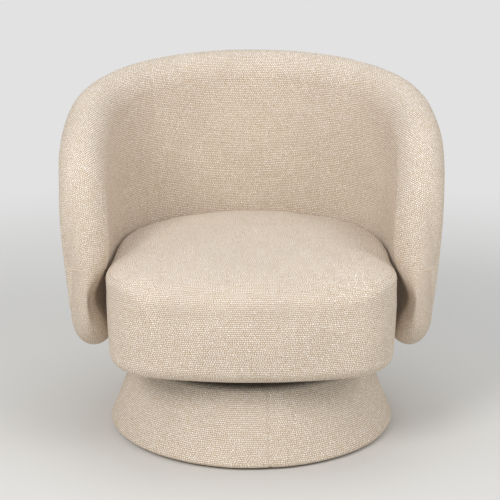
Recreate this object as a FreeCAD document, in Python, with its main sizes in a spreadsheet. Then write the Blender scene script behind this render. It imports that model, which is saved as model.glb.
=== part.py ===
# Upholstered swivel tub chair: a round padded plinth, a swivel plate with a slide ring,
# a deep boxed seat cushion and a curved back whose arms run round it as one soft shell.
# Millimetres, +Z up. The origin is on the floor under the swivel axis, the seat faces -Y.
import FreeCAD, Part
import math
import os
import Sketcher

Vector = FreeCAD.Vector
UP = Vector(0, 0, 1)

# Driving sizes
SIZES = {
    "arm_span": (766, "overall width over the arms"),
    "wall": (95, "thickness of the padded back and arms"),
    "back_reach": (360, "outside of the back, behind the swivel axis"),
    "arm_reach": (186, "front of the arms, ahead of the swivel axis"),
    "back_turn": (41, "heading, in degrees, where the back arc becomes the corner arc"),
    "corner_turn": (80, "heading, in degrees, where the corner arc becomes the side arc"),
    "corner_radius": (270, "middle line of the corner arc"),
    "side_radius": (640, "middle line of the side arc"),
    "rim_height": (749, "top of the back"),
    "foot_height": (170, "underside of the back and arms"),
    "nose_height": (375, "level of the foremost point of the arms"),
    "rim_flow": (2.05, "how late the rim starts to drop along the arm"),
    "rim_fall": (2.7, "how steeply the rim ends at the nose"),
    "foot_flow": (7.5, "how late the underside starts to rise along the arm"),
    "foot_rise": (4.0, "how steeply the underside ends at the nose"),
    "rim_round_out": (50, "rounding of the rim, outside"),
    "rim_round_in": (60, "rounding of the rim, inside"),
    "foot_round": (50, "rounding of the underside"),
    "recline": (13, "how far the wall leans out at the rim"),
    "recline_from": (420, "level where the wall starts to lean out"),
    "recline_flow": (1.3, "how gently the wall starts to lean out"),
    "draw_in": (17, "how far the wall is drawn in at its foot"),
    "draw_from": (455, "level where the wall starts to draw in"),
    "draw_flow": (1.4, "how gently the wall starts to draw in"),
    "thinning": (9, "how much thinner each face of the wall is at its foot"),
    "station_gap": (62, "longest step between sections along the wall"),
    "ease": (0.3, "clearance between pieces that lie on each other"),
    "seat_gap": (3, "gap between the seat and the inside of the back"),
    "seat_reach": (335, "front of the seat, ahead of the swivel axis"),
    "seat_corner": (115, "radius of the front corners of the seat"),
    "seat_side_turn": (100, "heading, in degrees, where the side becomes the front corner"),
    "seat_front_turn": (165, "heading, in degrees, where the front corner becomes the front"),
    "seat_edge": (372, "level of the top edge at the front of the seat"),
    "seat_tilt": (2, "slope of the seat top, in degrees, up towards the back"),
    "seat_crown": (30, "how far the middle of the seat top stands above its edge"),
    "seat_roll": (40, "rounding of the top edge"),
    "seat_foot_roll": (28, "rounding of the bottom edge"),
    "seat_floor_drop": (3.4, "seat underside below the seat platform"),
    "platform": (15, "thickness of the seat platform"),
    "platform_inset": (38, "edge of the platform inside the edge of the seat"),
    "platform_reach": (480, "how far round, along the wall, the platform carries the back's rail"),
    "deck": (18, "thickness of the framing boards"),
    "post": (40, "side of the square posts of the seat box"),
    "rail_level": (285, "underside of the seat rails"),
    "rail_width": (60, "width of the seat rails"),
    "frame_front_room": (50, "seat rails behind the front of the seat"),
    "frame_back_room": (85, "seat rails ahead of the inside of the back"),
    "frame_side_room": (83, "seat rails inside the arms, at their front"),
    "frame_narrowing": (40, "how much the seat rails come in towards their back, each side"),
    "strap_width": (50, "width of the elastic webbing"),
    "strap": (1.2, "thickness of the elastic webbing"),
    "strap_room": (8, "gap from the outer straps to the frame's narrow back corners"),
    "strap_land": (15, "how far the straps stop inside the edge of the seat rails"),
    "straps": (5, "webbing straps each way"),
    "frame_offset": (4, "frame of the back, outward from the middle of the wall"),
    "rib_depth": (32, "depth of the ribs of the back through the wall"),
    "rib": (24, "thickness of the ribs of the back"),
    "top_drop": (45, "top rail of the back below the rim"),
    "top_rail": (30, "height of the top rail of the back"),
    "frame_setback": (78, "front of the back's frame behind the nose of the arm"),
    "rib_middle": (70, "first pair of ribs, along the wall from its middle"),
    "rib_back": (210, "second pair of ribs"),
    "rib_corner": (350, "third pair of ribs"),
    "rib_side": (485, "fourth pair of ribs"),
    "panel": (3, "thickness of the bent panels"),
    "plinth_height": (151, "top of the plinth's top board"),
    "plinth_foot": (300, "radius of the plinth at its foot"),
    "plinth_neck": (251.5, "radius of the plinth at its shoulder"),
    "plinth_round": (8, "rounding of the plinth's foot and shoulder"),
    "plinth_hollow": (1.5, "how far the side of the plinth is hollowed"),
    "plinth_padding": (8.5, "thickness of the plinth's padded cover, at its side"),
    "plinth_hem": (2.3, "thickness of that cover where it is turned over the top board"),
    "board_lift": (2.6, "underside of the bottom board above the foot of the cover"),
    "plinth_skirt": (4.4, "underside of the plinth cover above the floor"),
    "plinth_opening": (146, "radius of the hole in the cover on top of the plinth"),
    "plinth_ribs": (8, "upright ribs between the plinth's boards"),
    "plinth_rib_root": (110, "inner end of those ribs, from the swivel axis"),
    "glides": (6, "glides under the plinth"),
    "glide_circle": (252, "radius of the circle of glides"),
    "glide_radius": (10, "radius of a glide"),
    "plate_side": (200, "side of the square swivel plates"),
    "plate_clip": (14, "clipped corner of the swivel plates"),
    "plate": (3, "thickness of the swivel plates"),
    "dish_side": (156, "side of the pressed dish in each plate"),
    "dish_rise": (13, "height of the dish above its plate"),
    "dish_slope": (30, "slope of the dish's sides, in degrees off upright"),
    "swivel_height": (37.6, "height of the swivel, over both plates"),
    "bearing_radius": (60, "outer radius of the slide ring between the plates"),
    "bearing_width": (14, "width of that ring"),
    "pivot_radius": (9, "radius of the pivot riveted in the lower plate"),
    "pivot_play": (0.15, "clearance of the pivot in the upper plate"),
    "pivot_head": (14, "radius of the pivot's head"),
    "pivot_head_height": (3, "height of the pivot's head"),
}

doc = FreeCAD.newDocument("swivel_chair")
sheet = doc.addObject("Spreadsheet::Sheet", "Sizes")
for row, (alias, (value, note)) in enumerate(SIZES.items(), start=1):
    sheet.set(f"A{row}", alias)
    sheet.set(f"B{row}", str(value))
    sheet.set(f"C{row}", note)
    sheet.setAlias(f"B{row}", alias)

# Sizes worked out from the driving ones
derived = doc.addObject("App::VarSet", "Derived")


def derive(name, expression):
    """A size that follows from the driving sizes, as one formula for sketches and code."""
    derived.addProperty("App::PropertyFloat", name, "Derived", "")
    derived.setExpression(name, expression)


derive("board_low", "Sizes.plinth_skirt + Sizes.board_lift")
derive("board_top", "Derived.board_low + Sizes.deck")
derive("top_board_low", "Sizes.plinth_height - Sizes.deck")
derive("shoulder", "Sizes.plinth_height + Sizes.ease + Sizes.plinth_hem")
derive("plinth_slope", "(Sizes.plinth_foot - Sizes.plinth_neck) / (Derived.shoulder - Sizes.plinth_skirt)")
derive("liner_foot", "Sizes.plinth_foot - Sizes.plinth_padding"
       " - (Derived.board_low - Sizes.plinth_skirt) * Derived.plinth_slope")
derive("seat_base", "Sizes.plinth_height + Sizes.swivel_height")
derive("platform_top", "Derived.seat_base + Sizes.platform")
derive("rail_top", "Sizes.rail_level + Sizes.deck")
derive("frame_front", "Sizes.seat_reach - Sizes.frame_front_room")
derive("frame_back", "Sizes.back_reach - Sizes.wall - Sizes.frame_back_room")
derive("frame_front_half", "Sizes.arm_span / 2 - Sizes.wall - Sizes.frame_side_room")
derive("frame_back_half", "Derived.frame_front_half - Sizes.frame_narrowing")
derive("strap_middle", "(Derived.frame_front - Derived.frame_back) / 2")
derive("strap_pitch",
       "2 * (Derived.frame_back_half - Sizes.strap_room - Sizes.strap_width / 2) / (Sizes.straps - 1)")
derive("seat_floor", "Derived.seat_base - Sizes.seat_floor_drop")
doc.recompute()


def size(name):
    """A driving or worked-out size, in millimetres or degrees."""
    owner = sheet if name in SIZES else derived
    return float(getattr(owner, name))


# Sketch and feature helpers
def new_body(label):
    """An empty body whose label names its file."""
    body = doc.addObject("PartDesign::Body", label)
    body.Label = label
    return body


def origin_feature(body, role):
    """A plane or axis of the body's own origin."""
    for feature in body.Origin.OriginFeatures:
        if feature.Role == role:
            return feature
    raise ValueError(f"no {role} in {body.Label}")


def new_sketch(body, role, name, level=None):
    """A sketch on one of the body's own planes, raised by the expression level."""
    sketch = body.newObject("Sketcher::SketchObject", f"{body.Label}_{name}")
    sketch.AttachmentSupport = [(origin_feature(body, role), "")]
    sketch.MapMode = "FlatFace"
    if level is not None:
        sketch.setExpression("AttachmentOffset.Base.z", level)
    return sketch


def draw_polygon(sketch, corners):
    """A closed outline whose corners are each bound to a pair of expressions."""
    first = sketch.GeometryCount
    count = len(corners)
    for index in range(count):
        start = Vector(10 * index + 1, index * index % 7 + 1, 0)
        after = (index + 1) % count
        end = Vector(10 * after + 1, after * after % 7 + 1, 0)
        sketch.addGeometry(Part.LineSegment(start, end))
    for index in range(count):
        following = first + (index + 1) % count
        sketch.addConstraint(Sketcher.Constraint("Coincident", first + index, 2, following, 1))
    for index, (across, along) in enumerate(corners):
        for kind, expression in (("DistanceX", across), ("DistanceY", along)):
            number = sketch.addConstraint(Sketcher.Constraint(kind, -1, 1, first + index, 1, 1.0))
            sketch.setExpression(f"Constraints[{number}]", expression)


def draw_circle(sketch, radius, across="0", along="0"):
    """A circle whose radius and centre are bound to expressions."""
    line = sketch.addGeometry(Part.Circle(Vector(1, 1, 0), UP, 1.0))
    number = sketch.addConstraint(Sketcher.Constraint("Radius", line, 1.0))
    sketch.setExpression(f"Constraints[{number}]", radius)
    for kind, expression in (("DistanceX", across), ("DistanceY", along)):
        number = sketch.addConstraint(Sketcher.Constraint(kind, -1, 1, line, 3, 1.0))
        sketch.setExpression(f"Constraints[{number}]", expression)


def pad(body, sketch, length):
    """A prism raised from the sketch."""
    feature = body.newObject("PartDesign::Pad", f"{sketch.Label}_pad")
    feature.Profile = sketch
    feature.setExpression("Length", length)
    doc.recompute()
    return feature


def pocket(body, sketch, length, reversed_way=True):
    """A hole cut from the sketch: upwards when reversed, as every hole here starts below."""
    before = body.Shape.Volume
    feature = body.newObject("PartDesign::Pocket", f"{sketch.Label}_pocket")
    feature.Profile = sketch
    feature.Reversed = reversed_way
    feature.setExpression("Length", length)
    doc.recompute()
    if not body.Shape.Volume < before:
        raise ValueError(f"{feature.Label} cuts nothing")
    return feature


def revolve(body, sketch, axis="V_Axis", kind="PartDesign::Revolution"):
    """A full turn of the sketch, added or cut."""
    before = body.Shape.Volume if kind == "PartDesign::Groove" else None
    feature = body.newObject(kind, f"{sketch.Label}_turn")
    feature.Profile = sketch
    feature.ReferenceAxis = (sketch, [axis])
    feature.Angle = 360
    doc.recompute()
    if before is not None and not body.Shape.Volume < before:
        raise ValueError(f"{feature.Label} cuts nothing")
    return feature


def repeat_round(body, feature, count):
    """Equal copies of a feature round the vertical axis."""
    pattern = body.newObject("PartDesign::PolarPattern", f"{feature.Label}_ring")
    pattern.Originals = [feature]
    pattern.Axis = (origin_feature(body, "Z_Axis"), [""])
    pattern.Angle = 360
    if count in SIZES:
        pattern.setExpression("Occurrences", f"Sizes.{count}")
    else:
        pattern.Occurrences = int(count)
    body.Tip = pattern
    doc.recompute()
    return pattern


def turned(label, corners):
    """One turned piece on the vertical axis: corners are (radius, level)."""
    body = new_body(label)
    sketch = new_sketch(body, "XZ_Plane", "profile")
    draw_polygon(sketch, corners)
    revolve(body, sketch)
    return body


def shaped(label, shape):
    """A free-form sub-part, whose sizes the code reads from the sheet."""
    feature = doc.addObject("Part::Feature", label)
    feature.Label = label
    feature.Shape = shape
    feature.Placement = FreeCAD.Placement()
    return feature


def boxes(label, pieces):
    """A group of boxes, each given as six expressions: corner x, y, z, then the three sides."""
    group = doc.addObject("Part::Compound", label)
    group.Label = label
    links = []
    for number, (x, y, z, length, width, height) in enumerate(pieces):
        box = doc.addObject("Part::Box", f"{label}_{number + 1}")
        for field, expression in (("Length", length), ("Width", width), ("Height", height),
                                  ("Placement.Base.x", x), ("Placement.Base.y", y),
                                  ("Placement.Base.z", z)):
            box.setExpression(field, expression)
        links.append(box)
    group.Links = links
    return group


# Plinth
def liner_radius(level):
    """Inner radius of the plinth's padded cover at a level, as an expression."""
    return f"(Derived.liner_foot - ({level} - Derived.board_low) * Derived.plinth_slope)"


def make_board(label, low, high):
    """A round board of the plinth that fills its padded cover at its upper edge."""
    return turned(label, [
        ("0", low),
        (f"{liner_radius(high)} - Sizes.ease", low),
        (f"{liner_radius(high)} - Sizes.ease", high),
        ("0", high),
    ])


def make_plinth_ribs():
    """Upright ribs between the boards, their outer edges sloped with the cover."""
    body = new_body("plinth_ribs")
    sketch = new_sketch(body, "XZ_Plane", "rib")
    low, high = "Derived.board_top", "Derived.top_board_low"
    thick = "Sizes.deck"
    setback = f"(Sizes.ease + {thick} * {thick} / (8 * {liner_radius(high)}))"
    draw_polygon(sketch, [
        ("Sizes.plinth_rib_root", low),
        (f"{liner_radius(low)} - {setback}", low),
        (f"{liner_radius(high)} - {setback}", high),
        ("Sizes.plinth_rib_root", high),
    ])
    feature = pad(body, sketch, thick)
    feature.Midplane = True
    doc.recompute()
    repeat_round(body, feature, "plinth_ribs")


def make_plinth_upholstery():
    """The padded cover of the plinth: rounded foot and shoulder, a slightly hollow side."""
    foot, top = "Sizes.plinth_skirt", "Derived.shoulder"
    foot_radius, neck_radius = "Sizes.plinth_foot", "Sizes.plinth_neck"
    rounding, under = "Sizes.plinth_round", "(Sizes.plinth_height + Sizes.ease)"
    turned("plinth_upholstery", [
        (f"{foot_radius} - {rounding}", foot),
        (foot_radius, f"{foot} + {rounding}"),
        (f"({foot_radius} + {neck_radius}) / 2 - Sizes.plinth_hollow", f"({foot} + {top}) / 2"),
        (neck_radius, f"{top} - {rounding}"),
        (f"{neck_radius} - {rounding}", top),
        ("Sizes.plinth_opening", top),
        ("Sizes.plinth_opening", under),
        (liner_radius(under), under),
        (liner_radius(foot), foot),
    ])


def make_glides():
    """Round glides under the bottom board."""
    body = new_body("floor_glides")
    sketch = new_sketch(body, "XY_Plane", "glide")
    draw_circle(sketch, "Sizes.glide_radius", "Sizes.glide_circle")
    repeat_round(body, pad(body, sketch, "Derived.board_low"), "glides")


def make_plinth():
    """Every piece of the standing base except the swivel."""
    make_board("plinth_bottom_board", "Derived.board_low", "Derived.board_top")
    make_board("plinth_top_board", "Derived.top_board_low", "Sizes.plinth_height")
    make_plinth_ribs()
    make_plinth_upholstery()
    make_glides()


# Swivel
def clipped_square(half, clip):
    """Corners of a square with clipped corners, as expressions."""
    outline = []
    for x_sign, y_sign, x_first in ((1, -1, True), (1, 1, False), (-1, 1, True), (-1, -1, False)):
        along_x = (f"{x_sign} * ({half} - {clip})", f"{y_sign} * ({half})")
        along_y = (f"{x_sign} * ({half})", f"{y_sign} * ({half} - {clip})")
        outline += [along_x, along_y] if x_first else [along_y, along_x]
    return outline


def make_plate(label):
    """A pressed swivel plate, flange down: clipped square flange and a raised square dish."""
    body = new_body(label)
    flange = new_sketch(body, "XY_Plane", "flange")
    draw_polygon(flange, clipped_square("Sizes.plate_side / 2", "Sizes.plate_clip"))
    pad(body, flange, "Sizes.plate")
    dish = new_sketch(body, "XY_Plane", "dish")
    draw_polygon(dish, clipped_square("Sizes.dish_side / 2", "Sizes.plate_clip"))
    raised = pad(body, dish, "Sizes.dish_rise + Sizes.plate")
    raised.setExpression("TaperAngle", "-Sizes.dish_slope")
    hollow = new_sketch(body, "XY_Plane", "hollow")
    inner = "Sizes.dish_side / 2 - Sizes.plate"
    draw_polygon(hollow, clipped_square(inner, "Sizes.plate_clip"))
    sunk = pocket(body, hollow, "Sizes.dish_rise")
    sunk.setExpression("TaperAngle", "-Sizes.dish_slope")
    doc.recompute()
    return body


def make_swivel():
    """Lower plate with its riveted pivot, slide ring, and upper plate turned over on it."""
    lower = make_plate("swivel_lower_plate")
    pivot = new_sketch(lower, "XZ_Plane", "pivot")
    over = "(Sizes.swivel_height - Sizes.dish_rise + Sizes.pivot_play)"
    draw_polygon(pivot, [
        ("0", "Sizes.dish_rise"),
        ("Sizes.pivot_radius", "Sizes.dish_rise"),
        ("Sizes.pivot_radius", over),
        ("Sizes.pivot_head", over),
        ("Sizes.pivot_head", f"{over} + Sizes.pivot_head_height"),
        ("0", f"{over} + Sizes.pivot_head_height"),
    ])
    revolve(lower, pivot)
    lower.Placement = FreeCAD.Placement(Vector(0, 0, size("plinth_height")), FreeCAD.Rotation())
    upper = make_plate("swivel_upper_plate")
    bore = new_sketch(upper, "XY_Plane", "bore")
    draw_circle(bore, "Sizes.pivot_radius + Sizes.pivot_play")
    pocket(upper, bore, "Sizes.swivel_height")
    turned_over = FreeCAD.Rotation(Vector(1, 0, 0), 180)
    upper.Placement = FreeCAD.Placement(Vector(0, 0, size("seat_base")), turned_over)
    seat = "(Sizes.plinth_height + Sizes.dish_rise + Sizes.plate)"
    cap = "(Derived.seat_base - Sizes.dish_rise - Sizes.plate - Sizes.ease)"
    turned("swivel_slide_ring", [
        ("Sizes.bearing_radius - Sizes.bearing_width", seat),
        ("Sizes.bearing_radius", seat),
        ("Sizes.bearing_radius", cap),
        ("Sizes.bearing_radius - Sizes.bearing_width", cap),
    ])


# Plan curves of the wall and the seat
class ArcChain:
    """Half of a plan curve: tangent arcs from the middle of the back round to the front."""

    def __init__(self, start, legs):
        self.legs = []
        x, y, heading, travelled = 0.0, start, 0.0, 0.0
        for radius, end in legs:
            self.legs.append((travelled, radius, heading, end, x, y))
            x += radius * (math.sin(end) - math.sin(heading))
            y -= radius * (math.cos(heading) - math.cos(end))
            travelled += radius * (end - heading)
            heading = end
        self.length = travelled

    def at(self, distance, outward=0.0):
        """Point and heading at a distance along the curve, mirrored when it is negative."""
        side = -1 if distance < 0 else 1
        travelled, radius, heading, end, x, y = self.legs[0]
        for leg in self.legs:
            if abs(distance) >= leg[0]:
                travelled, radius, heading, end, x, y = leg
        turned_to = heading + (abs(distance) - travelled) / radius
        x += radius * (math.sin(turned_to) - math.sin(heading)) + outward * math.sin(turned_to)
        y += radius * (math.cos(turned_to) - math.cos(heading)) + outward * math.cos(turned_to)
        return side * x, y, side * turned_to

    def distance_at(self, y):
        """Distance along the curve at which it comes forward to the given y."""
        low, high = 0.0, self.length
        for _ in range(60):
            middle = (low + high) / 2
            if self.at(middle)[1] > y:
                low = middle
            else:
                high = middle
        return low

    def edges(self, outward, reach):
        """Arcs on the floor from minus reach to plus reach, at an offset from the curve."""
        half = [leg[0] for leg in self.legs if 0 < leg[0] < reach - 1] + [reach]
        stops = [-stop for stop in reversed(half)] + half
        found = []
        for first, last in zip(stops[:-1], stops[1:]):
            corners = []
            for distance in (first, (first + last) / 2, last):
                x, y, _ = self.at(distance, outward)
                corners.append(Vector(x, y, 0))
            found.append(Part.Arc(*corners).toShape())
        return found


def wall_chain():
    """Middle line of the padded wall: back arc, corner arc and side arc."""
    back_turn, corner_turn = math.radians(size("back_turn")), math.radians(size("corner_turn"))
    half_span = (size("arm_span") - size("wall")) / 2
    corner, side = size("corner_radius"), size("side_radius")
    swept = corner * (math.sin(corner_turn) - math.sin(back_turn)) + side * (1 - math.sin(corner_turn))
    back = (half_span - swept) / math.sin(back_turn)
    start = size("back_reach") - size("wall") / 2
    legs = [(back, back_turn), (corner, corner_turn), (side, 3 * math.pi / 4)]
    return ArcChain(start, legs)


def seat_chain(inset):
    """Edge of the seat: it follows the wall, then rounds its own front, less an inset."""
    wall = wall_chain()
    step = size("wall") / 2 + size("seat_gap")
    legs = [(leg[1] - step, leg[3]) for leg in wall.legs[:2]]
    legs.append((wall.legs[2][1] - step, math.pi / 2))
    start = size("back_reach") - size("wall") / 2 - step
    reach = start + size("seat_reach")
    heading, x, y = 0.0, 0.0, 0.0
    for radius, end in legs:
        x += radius * (math.sin(end) - math.sin(heading))
        y += radius * (math.cos(heading) - math.cos(end))
        heading = end
    side_turn, front_turn = math.radians(size("seat_side_turn")), math.radians(size("seat_front_turn"))
    corner = size("seat_corner")
    x += corner * (math.sin(front_turn) - math.sin(side_turn))
    y += corner * (math.cos(side_turn) - math.cos(front_turn))
    side_x, side_y = math.sin(side_turn) - 1, -math.cos(side_turn)
    front_x, front_y = -math.sin(front_turn), math.cos(front_turn) + 1
    spread = side_x * front_y - side_y * front_x
    side = (-x * front_y - (reach - y) * front_x) / spread
    front = (side_x * (reach - y) + side_y * x) / spread
    legs += [(side, side_turn), (corner, front_turn), (front, math.pi)]
    return ArcChain(start - inset, [(radius - inset, end) for radius, end in legs])


def seat_wire(inset, level, tilt=0.0):
    """Closed outline of the seat at a level, tilted about its front edge."""
    chain = seat_chain(inset)
    wire = Part.Wire(chain.edges(0, chain.length))
    wire.rotate(Vector(0, -size("seat_reach"), 0), Vector(1, 0, 0), tilt)
    wire.translate(Vector(0, 0, level))
    return wire


# Back and arms
WALL = wall_chain()
NOSE = WALL.distance_at(-size("arm_reach"))
ROUNDING_SHARE = 0.97
ROUNDING_CHORDS = 5


def draw_share(level):
    """How much of the full draw-in applies at a level: none high up, all at the foot."""
    depth = (size("draw_from") - level) / (size("draw_from") - size("foot_height"))
    return max(depth, 0.0) ** size("draw_flow")


def wall_lean(level):
    """Offset of the wall's middle at a level, outward when positive."""
    rise = (level - size("recline_from")) / (size("rim_height") - size("recline_from"))
    out = size("recline") * max(rise, 0.0) ** size("recline_flow")
    return out - size("draw_in") * draw_share(level)


def edge_level(distance, end, flow, fall):
    """Level of the rim or underside along the wall, meeting at the nose."""
    share = min(abs(distance) / NOSE, 1.0)
    return size("nose_height") + (end - size("nose_height")) * (1 - share ** flow) ** (1 / fall)


def rim_at(distance):
    """Level of the rim along the wall."""
    return edge_level(distance, size("rim_height"), size("rim_flow"), size("rim_fall"))


def foot_at(distance):
    """Level of the underside along the wall."""
    return edge_level(distance, size("foot_height"), size("foot_flow"), size("foot_rise"))


def stretch(edge, distance):
    """How much longer a rounding gets where the edge runs steeply."""
    step = 1.0
    slope = (edge(abs(distance)) - edge(abs(distance) - step)) / step
    return math.sqrt(1 + slope * slope)


def wall_section(distance):
    """Cross-section of the padded wall: two faces, a round rim and a round foot."""
    room = NOSE - abs(distance)
    full = size("wall") / 2
    half = math.sqrt(full ** 2 - max(full - room, 0) ** 2)
    rim, foot = rim_at(distance), foot_at(distance)
    rim_room = ROUNDING_SHARE * (rim - size("nose_height"))
    foot_room = ROUNDING_SHARE * (size("nose_height") - foot)
    rim_stretch, foot_stretch = stretch(rim_at, distance), stretch(foot_at, distance)
    out_round = min(size("rim_round_out") * rim_stretch, rim_room)
    in_round = min(size("rim_round_in") * rim_stretch, rim_room)
    foot_round = min(size("foot_round") * foot_stretch, foot_room)
    thin = size("thinning") / full

    def face(level, side):
        return wall_lean(level) + side * half * (1 - thin * draw_share(level))

    def quarter(near, far, corner):
        """Points of a quarter ellipse from near up to far, whose tangents meet at the corner."""
        middle = [near[axis] + far[axis] - corner[axis] for axis in (0, 1)]
        points = []
        for step in range(ROUNDING_CHORDS):
            angle = math.pi / 2 * step / ROUNDING_CHORDS
            points.append([middle[axis] + (near[axis] - middle[axis]) * math.cos(angle)
                           + (far[axis] - middle[axis]) * math.sin(angle) for axis in (0, 1)])
        return points

    def side_face(low, high, side):
        """The foot of a face and the middle of it, which swells past the straight."""
        middle = (low[1] + high[1]) / 2
        return [low, (face(middle, side), middle)]

    crest = (wall_lean(rim - (out_round + in_round) / 2), rim)
    keel = (wall_lean(foot + foot_round), foot)
    outer_top = (face(rim - out_round, 1), rim - out_round)
    inner_top = (face(rim - in_round, -1), rim - in_round)
    inner_foot = (face(foot + foot_round, -1), foot + foot_round)
    outer_foot = (face(foot + foot_round, 1), foot + foot_round)
    outline = side_face(outer_foot, outer_top, 1)
    outline += quarter(outer_top, crest, (outer_top[0], rim))
    outline += quarter(crest, inner_top, (inner_top[0], rim))
    outline += side_face(inner_top, inner_foot, -1)
    outline += quarter(inner_foot, keel, (inner_foot[0], foot))
    outline += quarter(keel, outer_foot, (outer_foot[0], foot))
    corners = []
    for outward, level in outline:
        x, y, _ = WALL.at(distance, outward)
        corners.append(Vector(x, y, level))
    return Part.makePolygon(corners + corners[:1])


NOSE_ROOMS = (0.6, 3, 8, 16, 27, 40, 55, 75, 100, 135, 175)


def both_sides(distances):
    """The distances mirrored, in order from one arm round to the other."""
    ordered = sorted(distances)
    return [-distance for distance in reversed(ordered) if distance > 0] + ordered


def even_stations(reach):
    """Even places along the wall, from its middle to the reach, both sides."""
    steps = math.ceil(reach / size("station_gap"))
    return both_sides([reach * step / steps for step in range(steps + 1)])


def wall_solid():
    """The back and arms as one padded form."""
    near_nose = [NOSE - room for room in NOSE_ROOMS]
    middle = even_stations(near_nose[-1])[1:-1]
    places = [-place for place in near_nose] + middle + near_nose[::-1]
    return Part.makeLoft([wall_section(place) for place in places], True, True)


FRAME_REACH = NOSE - size("frame_setback")
HALF_RIB = size("rib_depth") / 2


def frame_offset_at(level):
    """Middle of the back's straight ribs at a level, outward from the wall's middle line."""
    rise = (level - size("foot_height")) / (size("rim_height") - size("foot_height"))
    return size("frame_offset") - size("draw_in") + (size("draw_in") + size("recline")) * rise


def frame_foot(distance):
    """The back's frame stands on the seat platform all along the wall."""
    return size("platform_top")


def rail_head(distance):
    """Top of the lower rail."""
    return size("platform_top") + size("deck")


def frame_high(distance):
    """Top of the back's frame along the wall."""
    return rim_at(distance) - size("top_drop")


def top_rail_low(distance):
    """Underside of the top rail."""
    return frame_high(distance) - size("top_rail")


def frame_band(inner, outer, low, high, places):
    """A band of the frame between two offsets, through the places along the wall."""
    sections = []
    for distance in places:
        corners = []
        levels = (low(distance), high(distance))
        for offset, level in ((inner, levels[0]), (outer, levels[0]),
                              (outer, levels[1]), (inner, levels[1])):
            x, y, _ = WALL.at(distance, frame_offset_at(level) + offset)
            corners.append(Vector(x, y, level))
        sections.append(Part.makePolygon(corners + corners[:1]))
    return Part.makeLoft(sections, True, True)


def make_back_frame():
    """Rails, ribs and bent panels of the back and arms."""
    ease, panel = size("ease"), size("panel")
    places = even_stations(FRAME_REACH)
    shaped("back_lower_rail", frame_band(-HALF_RIB, HALF_RIB, frame_foot, rail_head, places))
    shaped("back_top_rail", frame_band(-HALF_RIB, HALF_RIB, top_rail_low, frame_high, places))
    shaped("back_outer_panel", frame_band(HALF_RIB + ease, HALF_RIB + ease + panel,
                                          frame_foot, frame_high, places))
    shaped("back_inner_panel", frame_band(-HALF_RIB - ease - panel, -HALF_RIB - ease,
                                          frame_foot, frame_high, places))
    front = FRAME_REACH - size("rib") / 2
    spots = [size("rib_middle"), size("rib_back"), size("rib_corner"), size("rib_side"), front]
    ribs = []
    for spot in both_sides(spots):
        ends = (spot - size("rib") / 2, spot + size("rib") / 2)
        ribs.append(rib_between(ends, places))
    shaped("back_ribs", Part.makeCompound(ribs))


def straight_between(edge, places):
    """The level of an edge that runs straight from place to place, as the rails do."""
    def level(distance):
        for first, last in zip(places[:-1], places[1:]):
            if first <= distance <= last:
                share = (distance - first) / (last - first)
                return edge(first) + (edge(last) - edge(first)) * share
        raise ValueError(f"{distance} lies beyond the frame")
    return level


def rib_between(ends, places):
    """One rib between the rails, set back so that it stays inside the flat-sided panels."""
    setback = size("ease") + size("station_gap") ** 2 / 8 / size("corner_radius")
    rail_underside = straight_between(top_rail_low, places)
    return frame_band(-HALF_RIB, HALF_RIB - setback, rail_head,
                      lambda distance: rail_underside(distance) - size("ease"), ends)


def platform_shape(grow, low, high):
    """The platform's outline: the seat box, and out under the rail of the back."""
    inner = Part.Face(seat_wire(size("platform_inset") - grow, low))
    rim = frame_offset_at(size("platform_top")) + HALF_RIB + grow
    arc = WALL.edges(rim, size("platform_reach") + grow)
    ends = [arc[-1].Vertexes[-1].Point, arc[0].Vertexes[0].Point]
    outer = Part.Face(Part.Wire(arc + [Part.makeLine(*ends)]))
    outer.translate(Vector(0, 0, low))
    rise = Vector(0, 0, high - low)
    return inner.extrude(rise).fuse(outer.extrude(rise)).removeSplitter()


def make_back_upholstery():
    """The soft shell round the back's frame, with a slot where the platform comes in."""
    ease = size("ease")
    half = HALF_RIB + size("panel") + 2 * ease
    reach = FRAME_REACH + ease
    places = even_stations(FRAME_REACH)
    places[0], places[-1] = -reach, reach
    core = frame_band(-half, half, lambda distance: size("platform_top") - ease,
                      lambda distance: frame_high(distance) + ease, places)
    slot = platform_shape(ease, size("seat_base") - ease, size("platform_top") + ease)
    shaped("back_upholstery", wall_solid().cut(core).cut(slot))


# Seat
ROLL_STEPS = 3
CROWN_STRIPS = 7
CROWN_LEAST = 1
CROWN_FULLNESS = 0.7


def seat_rolls():
    """The seat's rolled edges and drawn-in sides under a flat sloping top."""
    floor, edge = size("seat_floor"), size("seat_edge")
    foot_roll, roll = size("seat_foot_roll"), size("seat_roll")
    drawn_foot = size("draw_in") - size("thinning")
    quarter = [math.pi / 2 * step / ROLL_STEPS for step in range(ROLL_STEPS + 1)]
    profile = [(foot_roll * (1 - math.sin(angle)), floor + foot_roll * (1 - math.cos(angle)))
               for angle in quarter]
    profile += [(roll * (1 - math.cos(angle)), edge - roll * (1 - math.sin(angle)))
                for angle in quarter]
    sections = []
    for turned_in, level in profile:
        share = (level - floor) / (edge - floor)
        inset = turned_in + drawn_foot * draw_share(level)
        sections.append(seat_wire(inset, level, size("seat_tilt") * share))
    return Part.makeLoft(sections, True, True)


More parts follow.
